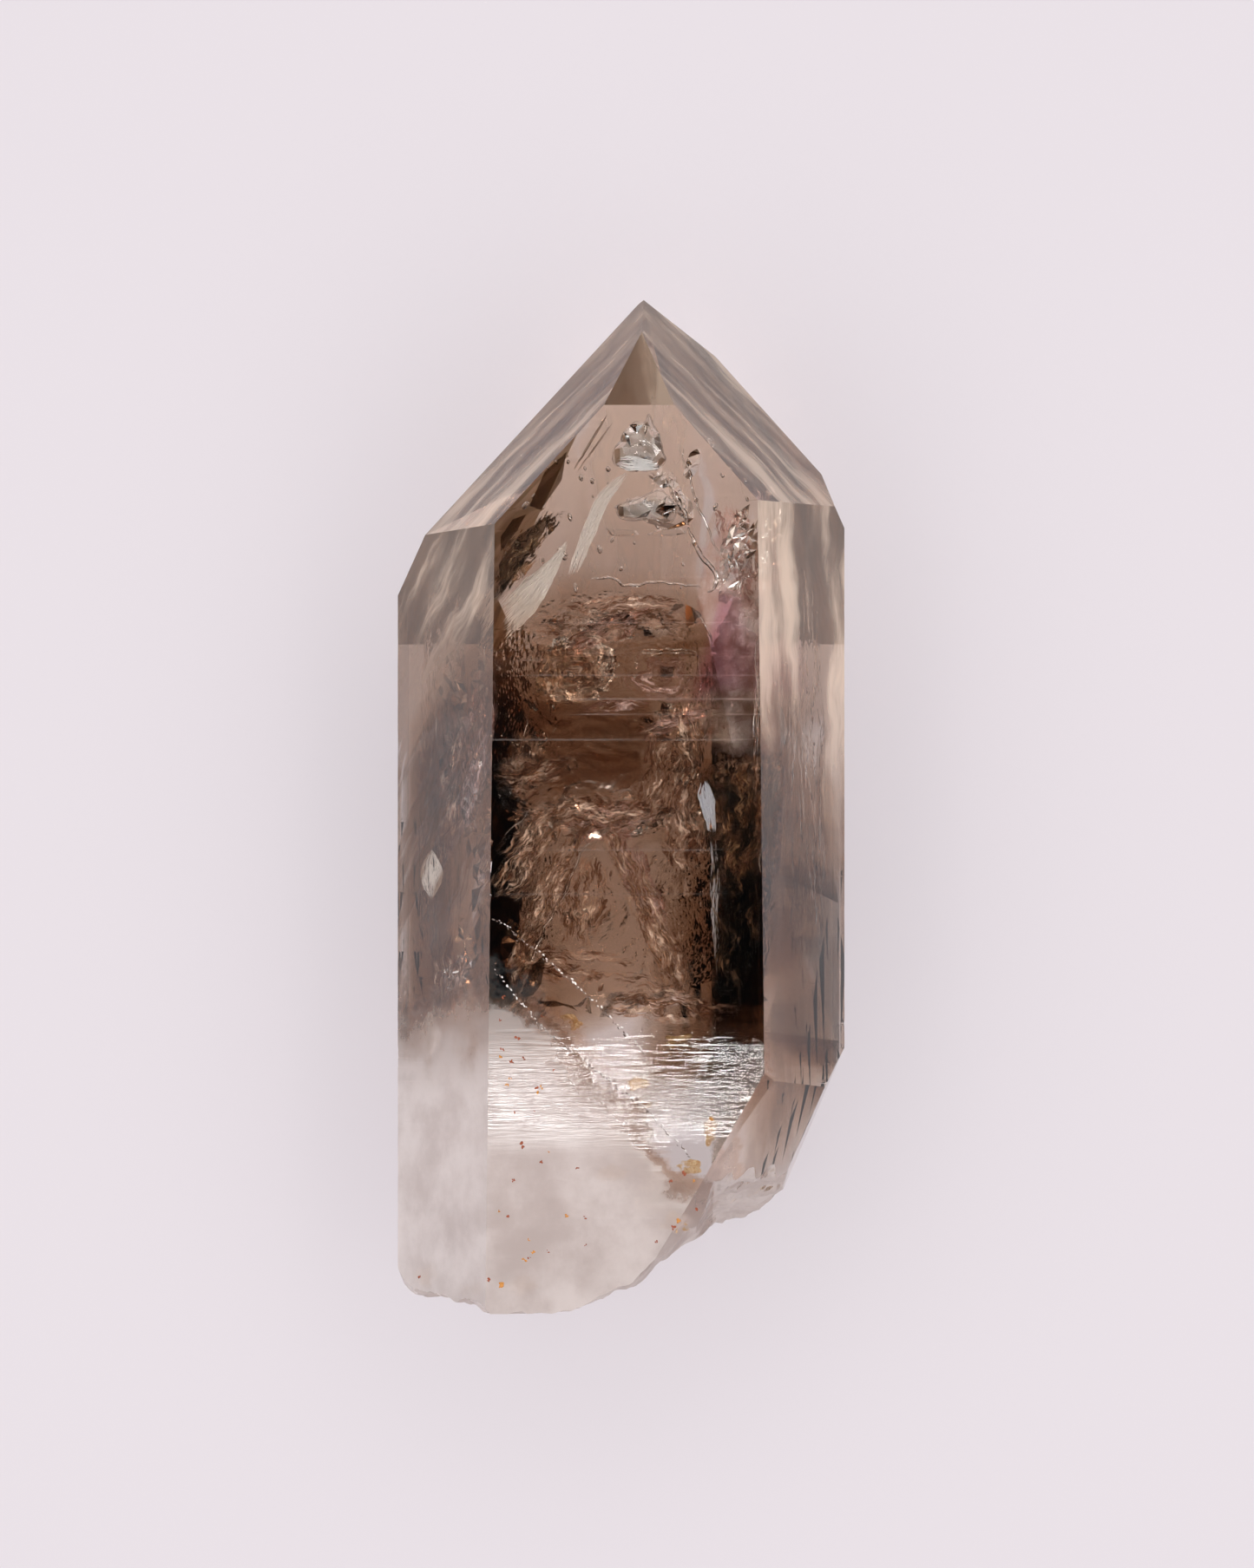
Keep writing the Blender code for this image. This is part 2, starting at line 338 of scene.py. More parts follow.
crystal = cut_block([*PRISM.values(), *RHOMBS, *BASE_FACES])
for y in row_places():
    slice_block(crystal, (0, y, 0), (0, 1, 0))
for column in range(COLUMNS):
    turn = math.pi * (column + 0.5) / COLUMNS
    slice_block(crystal, (0, 0, THICKNESS / 2), (math.cos(turn), 0, math.sin(turn)))
set_back(crystal)
print("sliced crystal:", len(crystal.faces), "faces in", len(row_places()), "rows")

# %% [markdown]
# ## The broken base
#
# The crystal was snapped off its rock, so its base is an uneven fracture. Its main run follows the solid's,
# and it is cut with a much finer net here, so that the small shell-shaped waves and the grain of the break
# are real shape.

# %% Cut the broken base
BREAK_ACROSS = (
    -16.0, -13.4, -12.8, -12.2, -10.6, -8.8, -7.6, -6.0, -3.0, 0.3, 2.4, 4.4, 5.6, 8.0, 10.6, 16.0
)
BREAK_HIGH = (
    -24.0, -27.2, -28.6, -29.2, -29.3, -29.4, -30.2, -30.3, -29.7, -28.2, -26.6, -24.6, -21.8, -20.6, -20.2,
    -19.0
)
BREAK_LOW = (
    -24.0, -27.2, -28.3, -28.6, -28.8, -28.9, -29.4, -29.8, -29.7, -28.8, -27.6, -26.3, -25.6, -25.1, -23.5,
    -17.0
)
# middle, spacing and height of the shell-shaped waves
RIPPLES = (((9.0, 16.0), 2.3, 0.26), ((-9.0, 5.0), 3.1, 0.18))
RIPPLE_REACH = 9.0
# fineness and height of the uneven grain
LUMPS = ((0.16, 0.50), (0.42, 0.36), (1.05, 0.16), (2.3, 0.10), (4.6, 0.05))
LUMP_PATTERN = 7.3
BREAK_STEP = 0.2
BREAK_MARGIN = 3.0


def between(places, values, x):
    """The value at x on a line through the places, eased so that it has no sharp bends."""
    for i in range(len(places) - 1):
        if x <= places[i + 1]:
            share = (x - places[i]) / (places[i + 1] - places[i])
            eased = share * share * (3 - 2 * share)
            return values[i] + (values[i + 1] - values[i]) * (share + eased) / 2
    return values[-1]


def break_y(x, z):
    """Where the broken surface lies along the crystal, at a place across it and a height."""
    up = min(1, max(0, z / THICKNESS))
    y = between(BREAK_ACROSS, BREAK_LOW, x) * (1 - up) + between(BREAK_ACROSS, BREAK_HIGH, x) * up
    for (centre_x, centre_z), spacing, height in RIPPLES:
        far = math.hypot(x - centre_x, z - centre_z)
        y += height * math.cos(2 * math.pi * far / spacing) * math.exp(-far / RIPPLE_REACH)
    for pitch, height in LUMPS:
        y += height * noise.noise(Vector((x * pitch, LUMP_PATTERN, z * pitch)))
    return max(y, -LENGTH / 2)


def break_cutter():
    """A closed block whose inner side is the broken surface."""
    reach = WIDTH / 2 + BREAK_MARGIN
    across = np.arange(-reach, reach + BREAK_STEP, BREAK_STEP)
    up = np.arange(-BREAK_MARGIN, THICKNESS + BREAK_MARGIN + BREAK_STEP, BREAK_STEP)
    cutter = bmesh.new()
    near = [[cutter.verts.new((x, break_y(x, z), z)) for z in up] for x in across]
    far = [[cutter.verts.new((x, -2 * LENGTH, z)) for z in up] for x in across]
    for layer in (near, far):
        for left, right in zip(layer, layer[1:]):
            for k in range(len(up) - 1):
                cutter.faces.new((left[k], right[k], right[k + 1]))
                cutter.faces.new((left[k], right[k + 1], left[k + 1]))
    bmesh.ops.bridge_loops(cutter, edges=[edge for edge in cutter.edges if edge.is_boundary])
    bmesh.ops.recalc_face_normals(cutter, faces=cutter.faces)
    return cutter


def cut_away(body, cutter):
    """Takes the cutter's shape out of the body, and removes the cutter."""
    cut = body.modifiers.new("cut", "BOOLEAN")
    cut.operation = "DIFFERENCE"
    cut.solver = "EXACT"
    cut.object = cutter
    bpy.context.view_layer.update()
    graph = bpy.context.evaluated_depsgraph_get()
    mesh = bpy.data.meshes.new_from_object(body.evaluated_get(graph))
    body.modifiers.remove(cut)
    body.data = mesh
    bpy.data.objects.remove(cutter)


skin = plain_object("quartz_skin", crystal)
cut_away(skin, plain_object("base_break", break_cutter()))
print("crystal with its broken base:", len(skin.data.polygons), "faces")

# %% [markdown]
# ## Clear quartz
#
# Clear quartz is a Principled shader with full transmission and quartz's own index of refraction, 1.544.
# What colours it is the volume: light loses a little more blue than red with every millimetre. Towards the
# base the stone is crowded with tiny hollows and turns milky, which is a share of plain diffuse white in
# the same shader.
#
# A few helpers keep the node work readable. Each makes one node and takes numbers or sockets alike.

# %% Shader helpers
QUARTZ_IOR = 1.544
SMOKE_COLOUR = (0.52, 0.29, 0.06, 1)
WHITE = (1, 1, 1, 1)


def nodes_of(name):
    """A new node material: its node tree and its Principled shader."""
    material = bpy.data.materials.new(name)
    material.use_nodes = True
    return material, material.node_tree, material.node_tree.nodes["Principled BSDF"]


def feed(tree, socket, value):
    """Links a socket to another one, or gives it a plain value."""
    if isinstance(value, bpy.types.NodeSocket):
        tree.links.new(value, socket)
    else:
        socket.default_value = value


def add_node(tree, kind, **values):
    """Adds a shader node and fills its sockets by name, or its properties where it has no such socket."""
    node = tree.nodes.new(kind)
    for name, value in values.items():
        socket = name.replace("_", " ")
        if socket in node.inputs:
            feed(tree, node.inputs[socket], value)
        else:
            setattr(node, name, value)
    return node


def plain_material(name, **values):
    """A material whose sockets, given by name, each have one value all over."""
    material, tree, shader = nodes_of(name)
    for socket, value in values.items():
        shader.inputs[socket.replace("_", " ")].default_value = value
    return material


def clear_material(name, ior):
    """A perfectly clear surface with the given index of refraction."""
    return plain_material(name, Base_Color=WHITE, Roughness=0.0, IOR=ior, Transmission_Weight=1.0)


def absorb(tree, colour, density):
    """Gives the material a plain absorbing volume, with density for each metre."""
    volume = add_node(tree, "ShaderNodeVolumeAbsorption", Color=colour, Density=density)
    tree.links.new(volume.outputs["Volume"], tree.nodes["Material Output"].inputs["Volume"])


def ramp(tree, source, low, high, low_value=0.0, high_value=1.0):
    """A smooth change of a number from low_value to high_value."""
    node = add_node(tree, "ShaderNodeMapRange", interpolation_type="SMOOTHSTEP", Value=source,
                    From_Min=low, From_Max=high, To_Min=low_value, To_Max=high_value)
    return node.outputs["Result"]


def math_node(tree, operation, *parts):
    """Joins numbers or sockets with Math nodes, one after another."""
    result = parts[0]
    for part in parts[1:]:
        node = add_node(tree, "ShaderNodeMath", operation=operation)
        feed(tree, node.inputs[0], result)
        feed(tree, node.inputs[1], part)
        result = node.outputs[0]
    return result


def product(tree, *factors):
    """The product of several numbers or sockets."""
    return math_node(tree, "MULTIPLY", *factors)


def total(tree, *parts):
    """The sum of several numbers or sockets."""
    return math_node(tree, "ADD", *parts)


def minus(tree, first, second):
    """The difference of two numbers or sockets."""
    return math_node(tree, "SUBTRACT", first, second)


def largest(tree, *parts):
    """The largest of several numbers or sockets."""
    return math_node(tree, "MAXIMUM", *parts)


def linked_noise(tree, vector, scale, detail=4.0, roughness=0.55):
    """A noise from 0 to 1 at the given coordinates."""
    node = add_node(
        tree, "ShaderNodeTexNoise", Vector=vector, Scale=scale, Detail=detail, Roughness=roughness
    )
    return node.outputs["Fac"]


def vector_of(tree, x, y, z):
    """Coordinates made from three numbers or sockets."""
    return add_node(tree, "ShaderNodeCombineXYZ", X=x, Y=y, Z=z).outputs[0]


def parts_of(tree, vector):
    """The x, y and z of some coordinates."""
    return add_node(tree, "ShaderNodeSeparateXYZ", Vector=vector).outputs


def blend_colour(tree, share, first, second):
    """A mix of two colours or sockets."""
    node = add_node(tree, "ShaderNodeMix", data_type="RGBA")
    for number, value in ((0, share), (6, first), (7, second)):
        feed(tree, node.inputs[number], value)
    return node.outputs[2]


def cover_partly(tree, shader, share, tint, full_tint=0.05):
    """Covers a share of a clear surface with plain diffuse colour."""
    feed(tree, shader.inputs["Transmission Weight"], minus(tree, 1.0, share))
    feed(
        tree, shader.inputs["Base Color"],
        blend_colour(tree, ramp(tree, share, 0.0, full_tint), WHITE, tint)
    )


def add_bump(tree, shader, height, distance):
    """Bumps the surface by a height from 0 to 1, times a distance in metres."""
    bump = add_node(tree, "ShaderNodeBump", Strength=1.0, Distance=distance, Height=height)
    feed(tree, shader.inputs["Normal"], bump.outputs["Normal"])

# %% [markdown]
# ## Streaks on the faces
#
# The faces of the point and the sides aren't quite clear. They carry streaks that run with the growth of
# each face: down the slope of the point, and nearly along the prism. They could be painted as an image, but
# noise drawn out along the face gives them at any size, and it reaches round the hidden side too.
#
# A streak is a share of the surface that is plain diffuse colour. The faces are told apart by their outward
# normal. A renderer turns the normal round when a face is seen from inside the stone, so it is turned back
# first.

# %% Haze of the quartz
def outward_normal(tree, geometry):
    """The x, y and z of the normal that points out of the stone, whichever side the light comes from."""
    turned = minus(tree, 1.0, product(tree, geometry.outputs["Backfacing"], 2.0))
    return [product(tree, part, turned) for part in parts_of(tree, geometry.outputs["True Normal"])]


def streaky_haze(tree, place, outward):
    """The cover and colour of the streaks on the faces of the point and the sides."""
    x, y, z = place
    out_x, out_y, out_z = outward
    sideways = math_node(tree, "ABSOLUTE", minus(tree, x, APEX.x * MM), 0)
    point_across = product(tree, total(tree, y, sideways), 2.2)
    lean = ramp(tree, x, -0.004, 0.004, 0.45, -0.02)
    side_across = product(tree, minus(tree, x, product(tree, y, lean)), 1.7)
    beside = ramp(tree, math_node(tree, "ABSOLUTE", out_x, 0), 0.3, 0.5)
    at_point = ramp(tree, out_y, 0.35, 0.5)
    on_point = product(tree, at_point, ramp(tree, beside, 0.0, 1.0, 0.55, 1.0))
    on_side = product(tree, beside, ramp(tree, out_y, 0.35, 0.5, 1.0, 0.0))
    under = ramp(tree, out_z, -0.35, -0.25, 1.0, 0.0)
    bend = linked_noise(tree, vector_of(tree, x, y, z), 170.0, 2.0)
    bend = product(tree, minus(tree, bend, 0.5), 0.0025)
    across = total(tree, product(tree, at_point, beside, point_across), product(tree, on_side, side_across),
                   bend, product(tree, at_point, ramp(tree, beside, 0.0, 1.0, 1.0, 0.0), x))
    along = product(tree, y, 0.16)
    streaks = linked_noise(tree, vector_of(tree, across, along, product(tree, z, 0.2)), 300.0, 5.0, 0.6)
    broad = linked_noise(tree, vector_of(tree, across, along, 0.013), 130.0, 4.0)

    point_cover = product(tree, on_point, ramp(tree, streaks, 0.36, 0.64, 0.05, 0.60))
    left = ramp(tree, x, -0.001, 0.001, 1.0, 0.0)
    right = minus(tree, 1.0, left)
    down_left = ramp(tree, y, -0.0105, -0.004)
    down_right = ramp(tree, y, -0.006, 0.009, 0.10, 1.0)
    dim_left = ramp(tree, y, 0.004, 0.012, 0.5, 1.0)
    side_reach = total(tree, product(tree, left, down_left, dim_left), product(tree, right, down_right))
    grain = total(tree, product(tree, streaks, 0.45), product(tree, broad, 0.55))
    side_cover = product(tree, on_side, side_reach, ramp(tree, grain, 0.43, 0.57, 0.03, 0.56))
    side_cover = total(tree, side_cover, product(tree, on_side, ramp(tree, y, 0.0030, 0.0100, 0.0, 0.22)))
    low_right = product(tree, right, ramp(tree, y, -0.002, 0.004, 1.0, 0.0))
    low_cover = product(
        tree, under, beside, minus(tree, 1.0, low_right), ramp(tree, broad, 0.35, 0.65, 0.1, 0.4)
    )
    cover = largest(tree, point_cover, side_cover, low_cover)

    light = total(
        tree, ramp(tree, grain, 0.43, 0.57), product(tree, at_point, 0.25), product(tree, under, 0.6)
    )
    right_shade = product(tree, right, ramp(tree, y, -0.006, 0.009, 0.85, -0.3))
    left_shade = product(tree, left, ramp(tree, y, 0.007, 0.014, 1.0, -0.3))
    shade = product(tree, on_side, total(tree, right_shade, left_shade))
    light = ramp(tree, minus(tree, light, shade), 0.0, 1.0)
    return cover, blend_colour(tree, light, (0.38, 0.26, 0.19, 1), (0.95, 0.74, 0.58, 1))

# %% [markdown]
# ## The material of the stone
#
# One material serves the whole crystal. It blends clear quartz, the streaks and the milky base by place.
# The milk follows a slanting, wandering front, and the fracture is the roughest and whitest part. In the
# glittering band the finest dashes are closer together than the ledges could be cut, so a bump adds them
# between the real ones.

# %% Quartz material
def quartz_material():
    """Clear quartz, streaky on the point and the sides, milky and rough towards the broken base."""
    material, tree, shader = nodes_of("smoky_quartz")
    shader.inputs["IOR"].default_value = QUARTZ_IOR
    geometry = add_node(tree, "ShaderNodeNewGeometry")
    x, y, z = parts_of(tree, geometry.outputs["Position"])

    cloud = linked_noise(tree, geometry.outputs["Position"], 210.0, 8.0, 0.68)
    wander = product(tree, minus(tree, cloud, 0.5), 0.014)
    past = total(tree, y, wander, ramp(tree, x, -0.007, 0.006, 0.0105, 0.022))
    outward = outward_normal(tree, geometry)
    broken = product(tree, ramp(tree, outward[1], -0.60, -0.75), ramp(tree, y, -0.018, -0.019))
    milk = largest(tree, ramp(tree, past, 0.001, -0.006), broken)
    pale = total(
        tree, ramp(tree, cloud, 0.35, 0.65, 0.0, 0.35), ramp(tree, outward[0], -0.4, -0.6, 0.0, 0.6)
    )
    milky = blend_colour(tree, pale, (0.57, 0.465, 0.435, 1), (0.98, 0.89, 0.87, 1))
    cloudy = product(tree, milk, ramp(tree, cloud, 0.32, 0.68, 0.54, 0.70))
    milk_cover = largest(tree, product(tree, broken, 0.85), cloudy)

    haze, streaky = streaky_haze(tree, (x, y, z), outward)
    haze = product(tree, haze, minus(tree, 1.0, milk))
    cover_partly(
        tree, shader, largest(tree, milk_cover, haze), blend_colour(tree, milk, streaky, milky), 0.1
    )
    band = product(
        tree, ramp(tree, y, -0.0215, -0.0180), ramp(tree, y, -0.0118, -0.0165),
        ramp(tree, outward[2], 0.9, 0.95)
    )
    smooth = minus(tree, 1.0, product(tree, band, 0.8))
    feed(tree, shader.inputs["Roughness"], product(tree, ramp(tree, milk, 0.0, 1.0, 0.015, 0.80), smooth))
    dashes = linked_noise(tree, vector_of(tree, product(tree, x, 0.07), y, 0.0), 4600.0, 4.0, 0.6)
    patches = linked_noise(tree, vector_of(tree, product(tree, x, 0.5), y, 0.0), 330.0, 3.0)
    patchy = ramp(tree, patches, 0.38, 0.60, 0.45, 1.0)
    add_bump(tree, shader, product(tree, dashes, band, patchy), 0.00013)
    absorb(tree, SMOKE_COLOUR, 8.0)
    return material


dress(skin, quartz_material())
print("quartz nodes:", len(skin.data.materials[0].node_tree.nodes))

# %% [markdown]
# ## Smoky zones
#
# The smoke is natural radiation's work on traces of aluminium. It lies in zones that follow the crystal's
# earlier shapes, each with a point of its own, and it misses the upper right side, where a purple amethyst
# patch grew. A zone has the refraction of the quartz round it, so only its colour shows: its surface has an
# index of 1, which bends nothing, and its volume absorbs.

# %% Smoky zones
def zone_material(name, colour, density):
    """A volume of colour whose surface can't be seen."""
    material = clear_material(name, 1.0)
    absorb(material.node_tree, colour, density)
    return material


def zone(side_gap, point_gap, bottom_y, slant, cuts=()):
    """An earlier shape of the crystal, a gap inside every face, with a slanting end near the base."""
    planes = [(point - normal * side_gap, normal) for point, normal in PRISM.values()]
    planes += [(point - normal * point_gap, normal) for point, normal in RHOMBS]
    planes.append((Vector((0, bottom_y, THICKNESS / 2)), slant.normalized()))
    planes += [(point, normal.normalized()) for point, normal in cuts]
    return cut_block(planes)


def side_cut(x, y, z, across, along, up=0.0):
    """A plane through a place, with the outward direction given by three numbers."""
    return Vector((x, y, z)), Vector((across, along, up))


CLEAR_SHOULDER = side_cut(4.6, 12.5, 16.0, 0.975, 0.22, 0.0)
CLEAR_POINT = side_cut(0.0, 14.2, 11.0, 0.1, 1, 0.28)
# gap to the sides, gap to the point, end near the base, its slant, other cuts, density
ZONES = {
    "whole": (0.4, 0.4, -13.5, (0.35, -1, 0.25), (), 14.0),
    "inner": (0.9, 5.6, -12.0, (0.45, -1, -0.1), (CLEAR_SHOULDER, CLEAR_POINT), 66.0),
    "heart": (
        1.4, 7.4, 0.5, (-0.2, -1, 0.25),
        (CLEAR_SHOULDER, side_cut(6.5, 4, 10, 1, -0.2), side_cut(0, 10.8, 11, -0.1, 1, 0.15)), 75.0
    ),
    "dark_band": (
        1.4, 8.2, 0.8, (0.1, -1, 0.15), (side_cut(1.5, 4, 10, 1, -0.3), side_cut(0, 4.6, 12, 0.1, 1, -0.2)),
        50.0
    ),
    "left_flank": (0.5, 7.0, -9.0, (0.4, -1, 0.1), (side_cut(-6.2, 0, 11, 1, 0.05, 0.1),), 90.0),
    "right_flank": (
        0.5, 7.0, -17.0, (0.2, -1, 0.2), (side_cut(3.4, -6, 8, -1, 0.1, 0.2), side_cut(8, 2.0, 11, 0.3, 1)),
        60.0
    ),
    "left_edge": (
        0.5, 7.0, -9.5, (0.4, -1, 0.1),
        (side_cut(-8.0, 0, 14, 1, 0.0, 0.5), side_cut(-9, 10.5, 11, 0.1, 1)), 80.0
    ),
    "right_edge": (
        0.5, 7.0, -17.5, (0.2, -1, 0.2),
        (side_cut(8.2, 0, 12, -1, 0.0, -0.3), side_cut(9, -0.5, 11, 0.3, 1)), 90.0
    ),
    "right_low": (
        0.5, 7.0, -17.5, (0.2, -1, 0.2), (side_cut(8.6, 0, 12, -1, 0.0), side_cut(9, -4.0, 11, 0.5, 1)),
        420.0
    ),
    "right_dark": (
        0.5, 7.0, -17.0, (0.2, -1, 0.2),
        (side_cut(3.8, -6, 8, -1, 0.25, 0.2), side_cut(8, -3.5, 11, 0.2, 1)), 90.0
    ),
}
for name, (side_gap, point_gap, bottom_y, slant, cuts, density) in ZONES.items():
    smoke = zone_material(f"smoke_{name}", SMOKE_COLOUR, density)
    new_object(
        f"smoky_zone_{name}", zone(side_gap, point_gap, bottom_y, Vector(slant), cuts), smoke,
    )
print("smoky zones:", len(ZONES))

# %% [markdown]
# ## The amethyst patch
#
# A wedge of purple lies high on the right, just under the prism faces. It is cut like the zones, from
# planes that run with the crystal's own faces.

# %% Amethyst patch
AMETHYST_COLOUR = (0.80, 0.40, 0.70, 1)
patch_planes = [
    (Vector((4.7, 9, 16)), Vector((-1, 0.28, 0.1))),
    (Vector((8.6, 9, 16)), Vector((1, 0.12, 0.5))),
    (Vector((6.0, 12.6, 18)), Vector((0.35, 1, 0.1))),
    (Vector((6.0, 6.6, 18)), Vector((0.2, -1, 0.15))),
    (Vector((6.0, 9, 22.0)), Vector((0, 0, 1))),
    (Vector((6.0, 9, 15.0)), Vector((-0.3, 0.1, -1))),
]
patch = cut_block([(point, normal.normalized()) for point, normal in patch_planes])
new_object("amethyst_patch", patch, zone_material("amethyst", AMETHYST_COLOUR, 150.0))

# %% [markdown]
# ## Hollows in the stone
#
# An enhydro crystal holds water, and gas, in hollows that closed as it grew. A hollow is a surface where
# quartz meets water or gas. To the shader it is the outside of the stone, seen from within, so each hollow
# is a closed mesh whose normals point into it, and its index is that of the quartz against what fills it.
#
# Three forms make nearly all that shows: thin crumpled films, which are cracks that healed again, hollows
# with flat faces like a crystal turned inside out, and small drops and needles.

# %% Hollow materials
WATER_IOR = 1.333

gas = clear_material("gas_in_quartz", QUARTZ_IOR)
water = clear_material("water_in_quartz", QUARTZ_IOR / WATER_IOR)
bubble = clear_material("gas_in_water", WATER_IOR)

# %% [markdown]
# ## Crumpled films
#
# The first form is a thin film: two skins over one crumpled disc, a fraction of a millimetre apart. A plane
# with a solidify modifier would do too, but it would be as thick at the rim as in the middle, and the rim
# would show as a hard line. Here the gap closes towards the rim.

# %% Crumpled films
def film(shape, middle, across, along, gap, crumple, pitch, seed, ragged=0.3, square=0.0, waves=0.0,
         whorl=False, rings=30, spokes=96):
    """Adds a thin closed hollow to a bmesh. across and along are half its width and length.

    Each point also gets fade, 1 in the middle and 0 at the rim, and flow, its place in mm across and
    along the grain of the film. The grain runs along the film, or round its middle in a whorl.
    """
    fade = shape.verts.layers.float.get("fade") or shape.verts.layers.float.new("fade")
    flow = shape.verts.layers.float_vector.get("flow") or shape.verts.layers.float_vector.new("flow")
    middle, across, along = Vector(middle), Vector(across), Vector(along)
    out = across.cross(along).normalized()
    start = Vector((seed * 3.7, seed * 1.9, seed * 5.3))

    def place(ring, spoke):
        turn = 2 * math.pi * spoke / spokes
        share = ring / rings
        round_reach = 1 + ragged * noise.noise(start + Vector((math.cos(turn), math.sin(turn), 0)) * 1.6)
        box_reach = 1 / max(abs(math.cos(turn)), abs(math.sin(turn)))
        reach = share * round_reach * (1 + square * (box_reach - 1))
        u, v = reach * math.cos(turn), reach * math.sin(turn)
        flat = middle + across * u + along * v
        folded = start + Vector((flat.x * pitch[0], flat.y * pitch[1], flat.z * pitch[1]))
        fold = noise.turbulence(folded, 4, True) - 0.5
        body = (1 - share * share) * (0.3 + 0.9 * abs(noise.noise(folded * 2.3)))
        centre = flat + out * (crumple * fold + waves * math.sin(share * 26 + 5 * fold))
        if whorl:
            grain = Vector((share * across.length, 0.4 * u * across.length, 0.4 * v * along.length + seed))
        else:
            grain = Vector((u * across.length, v * along.length, seed))
        corners = []
        for side in (1, -1):
            corner = shape.verts.new(centre + out * side * gap * body / 2)
            corner[fade] = 1 - share
            corner[flow] = grain
            corners.append(corner)
        return corners

    top_middle, low_middle = place(0, 0)
    upper, lower = [[top_middle] * spokes], [[low_middle] * spokes]
    for ring in range(1, rings + 1):
        pairs = [place(ring, spoke) for spoke in range(spokes)]
        upper.append([high for high, _ in pairs])
        lower.append([low for _, low in pairs])
    for layer, flip in ((upper, True), (lower, False)):
        for ring in range(rings):
            for spoke in range(spokes):
                after = (spoke + 1) % spokes
                inner, outer = layer[ring], layer[ring + 1]
                corners = [inner[spoke], outer[spoke], outer[after]]
                if ring:
                    corners.append(inner[after])
                shape.faces.new(corners[::-1] if flip else corners)

# %% [markdown]
# ## Crackled films
#
# Brittle stone cracks into small flat shards. A crackled film is a net of scattered points, joined to
# triangles, and each triangle stays flat. That is what makes it sparkle: neighbours mirror quite different
# parts of the room.

# %% Crackled films
CRACK_RAGGED = 0.35
CRACK_PITCH = 0.9


def crackle(shape, middle, across, along, gap, crumple, cell, seed):
    """Adds a thin closed hollow made of many small flat shards, as a crack in brittle stone is."""
    chance = random.Random(seed)
    middle, across, along = Vector(middle), Vector(across), Vector(along)
    out = across.cross(along).normalized()
    start = Vector((seed * 2.9, seed * 5.1, seed * 1.3))
    wide, high = across.length, along.length

    def reach(turn):
        return 1 + CRACK_RAGGED * noise.noise(start + Vector((math.cos(turn), math.sin(turn), 0)) * 2.2)

    rim_steps = max(16, round(math.pi * (wide + high) / cell))
    flat = []
    for step in range(rim_steps):
        turn = 2 * math.pi * step / rim_steps
        flat.append(Vector((math.cos(turn) * wide, math.sin(turn) * high)) * reach(turn))
    u = -wide * (1 + CRACK_RAGGED)
    while u < wide * (1 + CRACK_RAGGED):
        v = -high * (1 + CRACK_RAGGED)
        while v < high * (1 + CRACK_RAGGED):
            at = Vector((u + chance.uniform(-0.4, 0.4) * cell, v + chance.uniform(-0.4, 0.4) * cell))
            turn = math.atan2(at.y / high, at.x / wide)
            if math.hypot(at.x / wide, at.y / high) < reach(turn) - 0.8 * cell / min(wide, high):
                flat.append(at)
            v += cell
        u += cell
    net = delaunay_2d_cdt(flat, [], [list(range(rim_steps))], 1, 1e-5)
    points, triangles, came_from = net[0], net[2], net[3]
    pairs = []
    for point, origins in zip(points, came_from):
        at = middle + across * (point.x / wide) + along * (point.y / high)
        fold = noise.turbulence(start + at * CRACK_PITCH, 3, True) - 0.5
        high_at = at + out * (crumple * fold + chance.uniform(-0.18, 0.18) * cell)
        top = shape.verts.new(high_at + out * gap / 2)
        on_rim = any(origin < rim_steps for origin in origins)
        low = top if on_rim else shape.verts.new(high_at - out * (gap / 2 + chance.uniform(0, 0.15) * cell))
        pairs.append((top, low))
    for a, b, c in triangles:
        shape.faces.new((pairs[a][0], pairs[c][0], pairs[b][0]))
        if any(pairs[k][0] != pairs[k][1] for k in (a, b, c)):
            shape.faces.new((pairs[a][1], pairs[b][1], pairs[c][1]))

# %% [markdown]
# ## Thin channels and flat panes
#
# Where films or growth steps end, a thin channel often stays open and draws a bright line. A flat pane is
# simpler still: an outline and its copy a little below. In the flat hollow the lower outline is smaller, so
# its rim slopes and shows as a line that is dark or bright.

# %% Thin channels and flat panes
def ring_at(shape, middle, first, second, sides):
    """A ring of points round a place, through the ends of two square arms."""
    turns = [2 * math.pi * side / sides for side in range(sides)]
    return [shape.verts.new(middle + first * math.cos(turn) + second * math.sin(turn)) for turn in turns]


